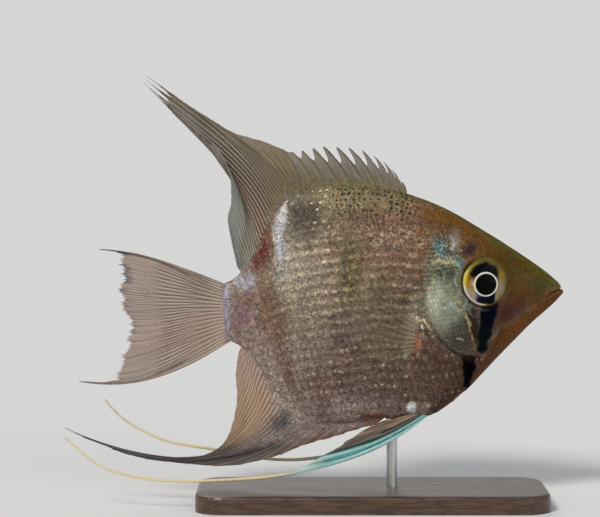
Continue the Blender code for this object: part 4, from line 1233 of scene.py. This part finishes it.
def soft_part(fin, side, t, per_ray=17):
    """Columns of points from the last spine to the last ray, with a frayed margin behind the streamer."""
    rays, leaders = fin["rays"], fin["leaders"]
    phase, share, _ = fan_grid(rays + 1, per_ray, len(t))
    places = np.interp(share, (0, 1), fin["soft_places"])
    line, outward = ridge(places, side)
    leading = all_along(fin["lead"], np.minimum(phase / leaders, 1))
    trailing = all_along(fin["trail"], np.maximum((phase - leaders) / (rays - leaders), 0))
    tips = np.where((phase <= leaders)[:, None], leading, trailing)
    frayed = fin["fray"] * bell(phase - leaders - 2, 0.4 * leaders)
    length = 1 - frayed * between_rays(phase, 0.3) - 0.012 * between_rays(phase, 0.5)
    length = length - ragged(phase, 41, 0.015)
    bases = line - ROOT_DEPTH * outward
    return ray_fan(bases, tips, fin["angles"], share, t * length[:, None]), phase, places


def median_fin(name, fin, side, paint, look):
    """The spiny and the soft part in one sheet. count numbers the rays from the border between the two."""
    t = np.linspace(0, 1, 60)
    parts = spiny_part(fin, side, t), soft_part(fin, side, t)
    side_view, count, places = (np.concatenate(both) for both in zip(*parts))
    count = count[:, None]
    soft = count >= 0
    phase = count + len(fin["spines"]) - 1
    ripple = 0.12 * np.sin(2 * math.pi * phase) + 0.35 * np.sin(phase * 0.7)
    middle = upright(side_view, fin["sway"] * step_up(0, 7, count), ripple, t)
    spine = (phase - np.round(phase)) / (0.11 - 0.05 * t)
    away = np.where(soft, nearest_ray(phase, t, fin["forks"]), spine)
    ridges = bell(away, 1)
    sheath = np.maximum(0.85 * root_width(places, side) - 0.36, 0)[:, None] * (1 - t) ** 14
    half = 0.06 + 0.3 * (1 - t) ** 3 + sheath + ridges * (0.15 - 0.08 * t) * step_up(0.02, 0.1, t)
    count, t = np.broadcast_arrays(count, t)
    colours, alpha, scaly = paint(middle[..., 0], middle[..., 2], t, away, count, soft)
    return plate(name, middle, half, colours, alpha, ridges, look, scaly)


def dorsal_paint(x, z, t, away, count, soft):
    """Places along the fin are given in shares of 24 soft rays, and spines have negative numbers."""
    count = count * 24 / DORSAL["rays"]
    ray, beside = bell(away, 0.9), bell(away - 2, 1)
    spiny = layered(
        (0.165, 0.135, 0.1),
        (bell(away - 1.6, 1.6) * 0.8, (0.3, 0.255, 0.18)),
        (step_up(0.45, 0.9, t) * 0.6, (0.235, 0.19, 0.168)),
        (ray * 0.8, (0.23, 0.19, 0.11)),
        (bell(away + 1.1, 0.7) * 0.95, (0.016, 0.011, 0.009)),  # dark line before each spine
    )
    rear = step_up(2, 13, count)
    lead = step_up(7, 2, count) * step_up(0.3, 0.6, t)
    fan = step_up(10, 14, count) * step_up(21, 18, count) * step_up(0.85, 0.6, t)
    pale = step_up(13, 21, count + 2 * wander(x, z, 3, 64))
    far = step_up(70, 86, z - 0.15 * x - 5)
    behind = layered(
        (0.165, 0.124, 0.082),
        (rear, (0.108, 0.08, 0.066)),
        (lead * 0.7, (0.27, 0.205, 0.135)),
        (fan * 0.8, (0.19, 0.115, 0.07)),
        (pale * 0.85, (0.265, 0.28, 0.215)),
        (beside * 0.85, layered((0.29, 0.228, 0.145), (rear, (0.48, 0.38, 0.285)))),
        (ray * (0.9 - 0.25 * pale), layered((0.075, 0.055, 0.03), (rear, (0.022, 0.014, 0.01)))),
        (pale * step_up(0.35, 0.7, t) * (0.2 + 0.5 * beside), (0.4, 0.45, 0.44)),
        (far * 0.4, (0.29, 0.245, 0.19)),
        (far * beside * 0.85, (0.64, 0.56, 0.45)),
        (far * ray * 0.9, (0.06, 0.046, 0.034)),
        (bell(count - 6, 1.2) * step_up(0.4, 0.7, t) * 0.6, (0.52, 0.44, 0.32)),  # the streamer's edge
    )
    rise = t * np.hypot(x[:, -1:] - x[:, :1], z[:, -1:] - z[:, :1]) - ROOT_DEPTH
    root = step_up(2.4, 0.2, rise + 1.2 * wander(x, z, 1, 63)) * step_up(14, 10, count)
    colours = layered(
        np.where(soft[..., None], behind, spiny),
        (bell(count, 3) * step_up(0.15, 0.35, t) * (0.1 + 0.5 * beside), (0.25, 0.215, 0.075)),
        (step_up(7, 1.5, rise) * step_up(13, 9, count) * 0.5, (0.15, 0.116, 0.066)),
        (np.maximum(root, step_up(0.06, 0.01, t)), np.minimum(markings(x, z), (0.16, 0.125, 0.09))),
    )
    clear = np.where(soft, 0.2 * step_up(7, 10, count), 0.18 + 0.14 * step_up(0.4, 0.9, t))
    clear = clear + 0.45 * bell(count - 10.5, 1.6) * step_up(0.5, 0.7, t)
    alpha = 1 - clear * (1 - np.maximum(ray, beside * 0.6)) * step_up(0.1, 0.4, t)
    return colours, alpha, 0.75 * step_up(4, 0.5, rise)


def anal_paint(x, z, t, away, count, soft):
    ray, beside = bell(away, 0.9), bell(away - 2, 1)
    rear = step_up(8, 13, count) * step_up(11, 16, z)
    streak = np.maximum(
        oval(x, z, (-29.5, 11.4), (7.5, 1.5), 14, 0.6), oval(x, z, (-46, 9.8), (12, 1.6), -6, 0.7)
    )
    reach = 0.33 + 0.4 * step_up(4, -3, count)
    scaly = step_up(0.19, -0.19, t - reach + 0.25 * wander(x, z, 1.5, 61)) * step_up(15, 7, count)
    scaly = np.maximum(scaly, step_up(0.2, 0.05, t))
    blotch = oval(x + 0.6 * lattice_noise(x, z, 1.2, 62), z, (-19.8, 18.6), (2.6, 1.7), 35, 0.8)
    colours = layered(
        (0.15, 0.112, 0.082),
        (rear, (0.45, 0.31, 0.205)),
        (rear * step_up(24, 30, z), (0.45, 0.35, 0.29)),
        (beside * 0.75, layered((0.29, 0.238, 0.195), (rear, (0.72, 0.52, 0.36)))),
        (ray * 0.85, layered((0.052, 0.042, 0.036), (rear, (0.17, 0.088, 0.048)))),
        (streak * 0.65 * (1 - 0.6 * beside), (0.028, 0.031, 0.046)),
        (step_up(-44, -56, x) * 0.7, (0.11, 0.098, 0.088)),  # the streamer's tip
        (scaly * 0.9, markings(x, np.maximum(z, 19.5))),
        (step_up(1, -4, count) * step_up(0.72, 0.92, t) * 0.85, (0.34, 0.125, 0.042)),  # front margin
        (blotch * 0.75, (0.03, 0.034, 0.042)),
    )
    alpha = 1 - 0.15 * (1 - np.maximum(np.maximum(ray, scaly), streak))
    return colours, alpha, scaly


def make_tail(look):
    phase, share, t = fan_grid(TAIL_RAYS, per_ray=24, steps=70)
    phase, share = phase[:, None], share[:, None]
    upper, lower = np.array(STATIONS[-1][0:2]), np.array(STATIONS[-1][2:4])
    bases = upper * (1 - share) + lower * share
    bases[:, 0] += TAIL_ROOT_DEPTH
    bases[:, 1] = TAIL_HEIGHT + (bases[:, 1] - TAIL_HEIGHT) * 0.97
    inner = step_up(0.02, 0.08, share) * step_up(0.98, 0.92, share)
    length = 1 + inner * (0.045 - 0.03 * between_rays(4 * phase, 0.5) - ragged(phase, 42, 0.055))
    side_view = ray_fan(bases, all_along(TAIL_MARGIN, share[:, 0]), TAIL_ANGLES, share[:, 0], t * length)
    ripple = 0.1 * np.sin(2 * math.pi * phase) + 0.4 * np.sin(phase * 0.8)
    middle = upright(side_view, TAIL_SWAY, ripple, t)
    x, z = middle[..., 0], middle[..., 2]
    away = nearest_ray(phase, t, (0.1, 0.5), 0.16)
    ridges = bell(away, 1)
    half = 0.06 + 0.4 * (1 - t) ** 3 + ridges * (0.09 - 0.04 * t)

    far = step_up(0.25, 1, t)
    uneven = 0.95 - 0.35 * lattice_noise(x * 0.35, z, 0.8, 65)
    second_ray = step_up(0.16, 0.1, share) * step_up(0.02, 0.05, share)
    frayed = step_up(0.9, 1, t) * step_up(0.3, 0.6, ragged(phase, 43, 1)) * step_up(0.75, 0.45, share)
    outer = np.maximum(step_up(0.045, 0, share), step_up(0.955, 1, share))
    root = step_up(0.075, 0.035, t)
    colours = layered(
        (0.345, 0.26, 0.208),
        (far, (0.345, 0.248, 0.2)),
        (oval(x, z, (-37, 50), (5, 3.4), 22, 0.8) * 0.75, (0.2, 0.16, 0.1)),  # olive
        (oval(x, z, (-42, 38.5), (9, 4), 12, 0.8) * 0.45, (0.34, 0.17, 0.1)),  # reddish
        (bell(away - 2, 0.9) * 0.75, (0.67, 0.565, 0.48)),
        (uneven * bell(away, 0.6), layered((0.042, 0.02, 0.012), (far, (0.12, 0.08, 0.064)))),
        (second_ray * bell(away - 2, 1) * 0.8, (0.74, 0.7, 0.64)),
        (frayed * 0.8, (0.045, 0.048, 0.06)),
        (outer * step_up(0.45, 0.9, t) * 0.85, (0.05, 0.045, 0.045)),
        (root, markings(x, z)),
    )
    clear = 0.24 + 0.12 * far + 0.18 * step_up(0.5, 1, share) * step_up(0.4, 1, t)
    alpha = 1 - clear * (1 - ridges) * step_up(0.05, 0.35, t)
    obj = plate("tail_sheet", middle, half, colours, alpha, ridges, look, 0.6 * step_up(0.1, 0.04, t))
    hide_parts("tail_fin")


# Colours across a pelvic fin from its leading edge: the number of the ray and the colour there.
PELVIC_BANDS = (
    # the light band at 0.2 is a painted highlight streak along the leading ray
    (0, (0.2, 0.33, 0.31)), (0.2, (0.34, 0.56, 0.53)), (0.5, (0.19, 0.4, 0.39)),
    (0.78, (0.1, 0.26, 0.265)), (0.92, (0.012, 0.052, 0.066)), (1.1, (0.11, 0.3, 0.3)),
    (1.35, (0.24, 0.47, 0.44)), (1.75, (0.11, 0.29, 0.28)), (1.95, (0.024, 0.07, 0.078)),
    (2.12, (0.006, 0.008, 0.012)), (2.3, (0.07, 0.085, 0.08)), (2.55, (0.035, 0.036, 0.036)),
    (2.72, (0.006, 0.006, 0.01)), (2.95, (0.06, 0.05, 0.042)), (3.1, (0.23, 0.165, 0.12)),
    (3.3, (0.12, 0.085, 0.062)), (3.5, (0.29, 0.2, 0.14)), (4.2, (0.24, 0.15, 0.095)),
    (5, (0.34, 0.17, 0.075)),
)  # fmt: skip


def pelvic_colours(phase, t, away):
    colours = read_columns(phase + 0.12 * np.sin(9 * t + 2 * phase), *zip(*PELVIC_BANDS))
    front = step_up(2, 1.6, phase)
    shade = step_up(0.25, 0.8, lattice_noise(7 * t, 9 * phase, 1, 52))
    glint = lattice_noise(40 * t, 6 * phase, 1, 51) * front
    streaks = lattice_noise(5 * t, 16 * phase, 1, 53) * step_up(2.1, 2.5, phase)
    return layered(
        colours * (1 + front * (0.1 + 0.45 * step_up(0.3, 0.8, t) - 0.3 * shade))[..., None],
        (step_up(0.55, 0.95, glint) * 0.4, (0.42, 0.62, 0.6)),
        (bell(away, 0.6) * (0.75 - 0.35 * front), (0.02, 0.04, 0.042)),
        (step_up(0.8, 1, t) * step_up(2.4, 0.8, phase), (0.46, 0.6, 0.52)),
        (step_up(0.45, 0.8, t) * step_up(1.9, 2.4, phase) * 0.45, (0.11, 0.088, 0.066)),
        (step_up(0.45, 0.75, streaks) * 0.65, (0.37, 0.255, 0.165)),
    )


def make_pelvic(word, side, look):
    phase, share, t = fan_grid(PELVIC_RAYS, per_ray=12, steps=50)
    root = along(PELVIC_ROOT, share) + PELVIC_SINK
    inner = all_along((PELVIC_TIP[word], *PELVIC_INNER[word][::-1]), share)
    length = 1 - 0.05 * between_rays(phase, 0.7) * step_up(0.3, 0.6, share)
    side_view = ray_fan(root[:, [0, 2]], inner[:, [0, 2]], PELVIC_ANGLES, share, t * length[:, None])
    phase = phase[:, None]
    ripple = 0.16 * np.sin(2 * math.pi * phase) * t
    y = side * (root[:, 1:2] + (inner[:, 1:2] - root[:, 1:2]) * t + ripple)
    middle = np.stack([side_view[..., 0], y, side_view[..., 1]], -1)
    away = nearest_ray(phase, t, (0.3, 0.65), 0.2)
    ridges = bell(away, 1)
    half = 0.07 + 0.25 * (1 - t) ** 2 + ridges * 0.12 + 0.16 * step_up(1.3, 0.2, phase) * (1 - 0.5 * t)
    alpha = 1 - 0.35 * step_up(2.8, 3.6, phase) * (1 - ridges) * step_up(0.1, 0.5, t)
    colours = pelvic_colours(*np.broadcast_arrays(phase, t), away)
    obj = plate("pelvic_sheet_" + word, middle, half, colours, alpha, ridges, look, 0)
    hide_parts("pelvic_fin_" + word)


def make_filament(word, side, look):
    """A thread as a thin tube, slightly beaded and drawn in at its ends."""
    steps, around = 150, 10
    share = np.linspace(0, 1, steps)
    points = all_along(np.array(FILAMENTS[word]) * (1, side, 1), share)
    forward = unit(np.gradient(points, axis=0))
    across = unit(np.cross(forward, (0, 0, 1)))
    up = np.cross(across, forward)
    radius = np.interp(share, (0, 1), FILAMENT_RADII) * (1 + 0.07 * np.sin(share * 150 * math.pi))
    radius[[0, -1]] *= 0.25
    turn = np.linspace(0, 2 * math.pi, around, endpoint=False)[:, None]
    ring = across[:, None] * np.cos(turn) + up[:, None] * np.sin(turn)
    tube = points[:, None] + ring * radius[:, None, None]
    first, final = np.arange(around)[::-1], np.arange(around) + (steps - 1) * around
    faces = [*tube_faces(steps, around).tolist(), first.tolist(), final.tolist()]
    colours = layered((0.72, 0.62, 0.36), (step_up(0.16, 0, share)[:, None], (0.44, 0.54, 0.44)))
    obj = piece("pelvic_thread_" + word, tube, faces, look, np.broadcast_to(colours, tube.shape), "fin")
    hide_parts("pelvic_filament_" + word)


def flank_width(x, z):
    """How far the body's side lies from the middle plane, at points of the side view."""
    place, turn = np.full(x.shape, LAST / 2), np.full(x.shape, math.pi / 2)
    pull, edge = 0.7, 0.1
    for _ in range(25):
        here = base_point(place, turn)
        ahead, up = tangents(place, turn)
        dx, dz = x - here[..., 0], z - here[..., 2]
        area = ahead[..., 0] * up[..., 2] - ahead[..., 2] * up[..., 0]
        place = np.clip(place - pull * (dx * up[..., 2] - dz * up[..., 0]) / area, edge, LAST - edge)
        turn = np.clip(turn + pull * (ahead[..., 0] * dz - ahead[..., 2] * dx) / area, edge, math.pi - edge)
    return base_point(place, turn)[..., 1]


def make_pectoral(word, side, look):
    """A clear fin that leaves the flank at its root and stands off it towards its margin."""
    phase, share, t = fan_grid(PECTORAL_RAYS, per_ray=12, steps=40)
    length = 1 - 0.02 * between_rays(phase, 0.7)
    root, tips = along(PECTORAL_ROOT, share), all_along(PECTORAL_MARGIN, share)
    side_view = ray_fan(root, tips, PECTORAL_ANGLES, share, t * length[:, None])
    flank = flank_width(side_view[..., 0], side_view[..., 1])
    held = flank[:, :1] + (flank - flank[:, :1]) * t
    stand_off = 0.15 + 0.5 * step_up(0, 0.3, t) + PECTORAL_SPREAD * t**1.5
    phase = phase[:, None]
    y = side * (np.maximum(held, flank) + stand_off + 0.15 * np.sin(2 * math.pi * phase) * t)
    middle = np.stack([side_view[..., 0], y, side_view[..., 1]], -1)
    ridges = bell(nearest_ray(phase, t, (0.35, 0.7), 0.13), 1)
    half = 0.06 + 0.18 * (1 - t) ** 3 + ridges * (0.1 - 0.06 * t)
    colours = layered(
        (0.34, 0.27, 0.16), (ridges, (0.26, 0.2, 0.11)), (step_up(0.3, 0, t) * 0.8, (0.46, 0.42, 0.28))
    )
    alpha = 0.04 + 0.16 * ridges + (0.08 + 0.3 * ridges) * step_up(0.35, 0, t)
    obj = plate("pectoral_sheet_" + word, middle, half, colours, np.clip(alpha, 0, 1), ridges, look, 0)
    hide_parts("pectoral_fin_" + word)


def make_fins():
    look, clear = fin_look("fins", 70), fin_look("clear_fins", 50)
    dorsal = median_fin("dorsal_sheet", DORSAL, 1, dorsal_paint, look)
    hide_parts("dorsal_fin_spiny", "dorsal_fin_soft")
    anal = median_fin("anal_sheet", ANAL, -1, anal_paint, look)
    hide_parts("anal_fin_spiny", "anal_fin_soft")
    make_tail(look)
    for word, side in SIDES.items():
        make_pelvic(word, side, look)
        make_filament(word, side, look)
        make_pectoral(word, side, clear)


# ---------------------------------------------------------------- eyes

PUPIL = 2.36
PUPIL_OFFSET = (-0.13, -0.4)  # the pupil's middle from the eye's
EYE_REACH = 1.06  # the disc's radius as a share of the opening's


def eye_look():
    constants = {"Coat Weight": 0.06, "Coat Roughness": 0.04, "Roughness": 0.4, "Specular IOR Level": 0.02}
    look = Look("eye", constants)
    fine = look.noise(per_mm(2.2), 3, 0.6)
    colour = look.mix(look.span(fine, 0.5, 0.75, 0, 0.3), look.marking(), (0.04, 0.026, 0.008))
    look.set("Base Color", colour)
    look.set("Normal", look.bump(fine, 0.2, 0.04))
    return look.material


def iris_layers(u, v, radius, outer, uneven):
    """The iris from its ground to its rim. outer is 1 at the eye's edge."""
    left, right = step_up(-1, -2.4, u), step_up(0.8, 2.4, u)
    cream = step_up(-0.3, -1.9, v + 0.3 * u + 1.1) * step_up(1, -0.6, u)
    return (
        (left, (0.3, 0.19, 0.01)),
        (left * oval(u + uneven, v, (-3, 1.1), (0.9, 1.5), 20, 0.8) * 0.9, (0.21, 0.08, 0.01)),
        (left * oval(u, v + uneven, (-2.9, 0.3), (0.45, 0.7), 0, 0.8) * 0.8, (0.48, 0.36, 0.25)),
        (cream * step_up(0.58, 0.7, outer + uneven * 0.1), (0.33, 0.27, 0.21)),
        (left * step_up(0.8, 0.9, outer) * step_up(-1.4, 0.4, v), (0.47, 0.37, 0.024)),  # yellow crescent
        (right * step_up(2.2, 0.6, v), (0.155, 0.11, 0.042)),
        (right * step_up(-0.5, -2.4, v), (0.205, 0.15, 0.072)),
        (right * bell(radius - 3.3, 0.8) * step_up(2, 0.2, v), (0.28, 0.215, 0.135)),
        (oval(u, v + uneven, (3.7, -1.3), (0.7, 1.1), 10, 0.8) * 0.8, (0.23, 0.21, 0.105)),
        (oval(u, v + uneven, (3.5, 2.1), (0.9, 0.7), -30, 0.8) * 0.9, (0.33, 0.18, 0.022)),
    )


def bar_layers(u, v, outer, uneven):
    """The black bar above and below the pupil, with a violet gleam."""
    over = oval(u + uneven, v + uneven, (-0.25, 2.25), (3.3, 2.9), 0, 0.3) * 0.6 * (v > 0)
    top = oval(u + uneven, v + uneven, (-0.25, 2.25), (3.1, 2.45), -4, 0.14) * step_up(1.2, 1.9, v)
    width = step_up(2.35, 1.95, abs(u - 0.15 + uneven))
    violet = bell(np.hypot(u + 1.5 + uneven, v + 2.4), 0.6)
    return (
        (over, (0.035, 0.03, 0.012)),
        (top, (0.001, 0.001, 0.003)),
        (width * step_up(0.985, 0.93, outer) * step_up(-1, -1.6, v), (0.001, 0.001, 0.004)),
        (violet * 0.75, (0.06, 0.04, 0.19)),
    )


def rim_layers(u, v, radius, outer):
    """The eye's edge, with painted shade where it runs under the socket behind and below, and the bright ring
    around the pupil.
    """
    rim = bell(outer - 0.945, 0.03) * step_up(1.2, -0.6, u)
    thick = 0.14 + 0.05 * step_up(1, -2, u - 0.5 * v)
    ring = step_up(thick + 0.09, thick, abs(radius - PUPIL - 0.14))
    return (
        (step_up(0.86, 0.97, outer) * step_up(2, 3.6, v), (0.11, 0.09, 0.025)),
        (step_up(0.84, 1, outer) * step_up(1.2, 3, u), (0.1, 0.066, 0.012)),
        (rim * step_up(3.9, 2.4, v) * 0.9, (0.72, 0.64, 0.2)),
        (rim * step_up(0.8, -0.8, v) * step_up(0.4, -1.4, u) * 0.95, (0.8, 0.77, 0.68)),
        (ring * 0.95, (0.78, 0.74, 0.6)),
        (step_up(PUPIL + 0.08, PUPIL - 0.04, radius), (0.0005, 0.0005, 0.0005)),
        # painted shade where the eye's hind and lower edge runs under its socket
        (step_up(0.985, 1.02, outer) * step_up(1, -1, u + 0.5 * v), (0.012, 0.008, 0.004)),
    )


def eye_colours(u, v):
    """Colours of the eye's face. u runs towards the snout and v upwards, from the pupil's middle."""
    radius = np.hypot(u, v)
    outer = np.hypot((u + PUPIL_OFFSET[0]) / EYE_WIDTH, (v + PUPIL_OFFSET[1]) / EYE_HEIGHT)
    uneven = 0.5 * wander(u, v, 0.8, 31)
    return layered(
        (0.13, 0.1, 0.03),
        *iris_layers(u, v, radius, outer, uneven),
        *bar_layers(u, v, outer, uneven),
        *rim_layers(u, v, radius, outer),
    )


def dome(distance, radius, height):
    return height * np.sqrt(np.clip(1 - (distance / radius) ** 2, 0, 1))


def make_eyes():
    """Each eye is a bulged disc: a flat dome for the iris and, before it, the rounder dome of the pupil."""
    look = eye_look()
    rings, spokes = 64, 96
    turns = np.linspace(0, 2 * math.pi, spokes, endpoint=False)
    share, turn = np.meshgrid(np.linspace(0, 1, rings), turns, indexing="ij")
    share = share * EYE_REACH
    u = share * EYE_WIDTH * np.cos(turn)
    v = share * EYE_HEIGHT * np.sin(turn)
    u_pupil, v_pupil = u - PUPIL_OFFSET[0], v - PUPIL_OFFSET[1]
    pupil = np.hypot(u_pupil, v_pupil)
    height = dome(share, 1.09, 2.05) + dome(pupil, PUPIL + 0.1, 0.26) + 0.05 * bell(pupil - PUPIL - 0.2, 0.3)
    colours = eye_colours(u_pupil, v_pupil)
    for word, side in SIDES.items():
        points = np.stack([u, side * height, v], -1)
        faces = tube_faces(rings, spokes)[:, ::side]
        obj = piece("eyeball_" + word, points, faces, look, colours, "eye")
        middle = Matrix.Translation((EYE[0] * MM, side * EYE[1] * MM, EYE[2] * MM))
        obj.data.transform(middle @ Matrix.Rotation(math.radians(-side * EYE_TURN), 4, "Z"))
        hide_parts("eye_" + word)


# ---------------------------------------------------------------- stand, floor, light and camera


def wood_look():
    look = Look("walnut", {"Coat Weight": 0.25, "Coat Roughness": 0.25})
    rings = look.noise(per_mm(0.35), 4, 0.55, look.stretched((0.1, 1, 1)))
    lines = look.noise(per_mm(2.2), 4, 0.6, look.stretched((0.05, 1, 1)))
    pores = look.cells(per_mm(1.6), look.stretched((0.08, 1, 1)))
    wave = look.math("PINGPONG", look.times(rings, 9), 0.5)
    colour = look.mix(look.span(wave, 0, 0.5), (0.11, 0.055, 0.026), (0.045, 0.02, 0.009))
    colour = look.mix(look.span(lines, 0.35, 0.7, 0, 0.7), colour, (0.03, 0.014, 0.007))
    colour = look.mix(look.span(pores, 0.2, 0.05, 0, 0.6), colour, (0.015, 0.007, 0.004))
    look.set("Base Color", colour)
    look.set("Roughness", look.span(lines, 0.3, 0.7, 0.33, 0.5))
    look.set("Normal", look.bump(look.plus(lines, pores), 0.25, 0.04))
    return look.material


def metal_look():
    look = Look("brushed_steel", {"Metallic": 1})
    lines = look.noise(per_mm(3), 3, 0.6, look.stretched((1, 1, 0.03)))
    look.set("Base Color", look.mix(look.span(lines, 0.3, 0.7), (0.46, 0.46, 0.45), (0.66, 0.66, 0.64)))
    look.set("Roughness", look.span(lines, 0.3, 0.7, 0.24, 0.4))
    look.set("Normal", look.bump(lines, 0.15, 0.02))
    return look.material


def dress_stand():
    for name, look in (("stand_base", wood_look()), ("stand_rod", metal_look())):
        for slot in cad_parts[name].material_slots:
            slot.material = look


FLOOR_COLOUR = (0.86, 0.855, 0.84)
FLOOR_HALF = 60  # metres
SKY_LOW, SKY_HIGH = (0.671, 0.671, 0.665), (0.22, 0.23, 0.25)
SKY_FADE = (0.12, 0.45)  # the heights between which the sky darkens, where 1 is overhead


def make_floor():
    look = Look("floor", {"Roughness": 0.9, "Specular IOR Level": 0, "Base Color": (*FLOOR_COLOUR, 1)})
    mesh = bpy.data.meshes.new("floor")
    corners = [(x * FLOOR_HALF, y * FLOOR_HALF, 0) for x, y in ((-1, -1), (1, -1), (1, 1), (-1, 1))]
    mesh.from_pydata(corners, [], [(0, 1, 2, 3)])
    mesh.materials.append(look.material)
    floor = add_object("floor", mesh)


def add_sun(name, towards, strength, spread, colour=(1, 1, 1)):
    """A broad, even light from far off. towards points from the model to the light."""
    data = bpy.data.lights.new(name, "SUN")
    data.energy = strength
    data.angle = math.radians(spread)
    data.color = colour
    add_object(name, data).rotation_euler = (-Vector(towards)).to_track_quat("-Z", "Y").to_euler()


def make_lights():
    """The sky is as bright as the floor along the horizon, so that the two meet unseen, and darker above."""
    world = bpy.data.worlds.new("studio")
    sky = Nodes(world)
    height = sky.node("SeparateXYZ", {0: sky.place("Generated")}).outputs["Z"]
    colour = sky.mix(sky.span(height, *SKY_FADE), SKY_LOW, SKY_HIGH)
    sky.wire(sky.tree.nodes["Background"].inputs["Color"], colour)
    bpy.context.scene.world = world
    add_sun("key", (-0.45, -0.75, 0.75), 1.75, 14, (1, 0.98, 0.95))
    add_sun("fill", (0.6, -0.75, 0.35), 0.45, 40, (0.95, 0.98, 1))
    add_sun("rim", (-0.2, 0.8, 0.6), 0.6, 30)


CAMERA_TARGET = (-0.016, 0, 0.055)
CAMERA_DISTANCE = 0.5
CAMERA_ELEVATION = math.radians(3)
LENS, SENSOR = 135, 36
CLIP_START = 0.01


def make_camera():
    data = bpy.data.cameras.new("camera")
    data.lens, data.sensor_width, data.clip_start = LENS, SENSOR, CLIP_START
    camera = add_object("camera", data)
    back = Vector((0, -math.cos(CAMERA_ELEVATION), math.sin(CAMERA_ELEVATION)))
    camera.location = Vector(CAMERA_TARGET) + back * CAMERA_DISTANCE
    camera.rotation_euler = (-back).to_track_quat("-Z", "Y").to_euler()
    bpy.context.scene.camera = camera


make_camera()
make_lights()
make_floor()
make_skin()
make_scales()
make_fins()
make_eyes()
dress_stand()
bpy.context.scene.view_settings.view_transform = "Standard"
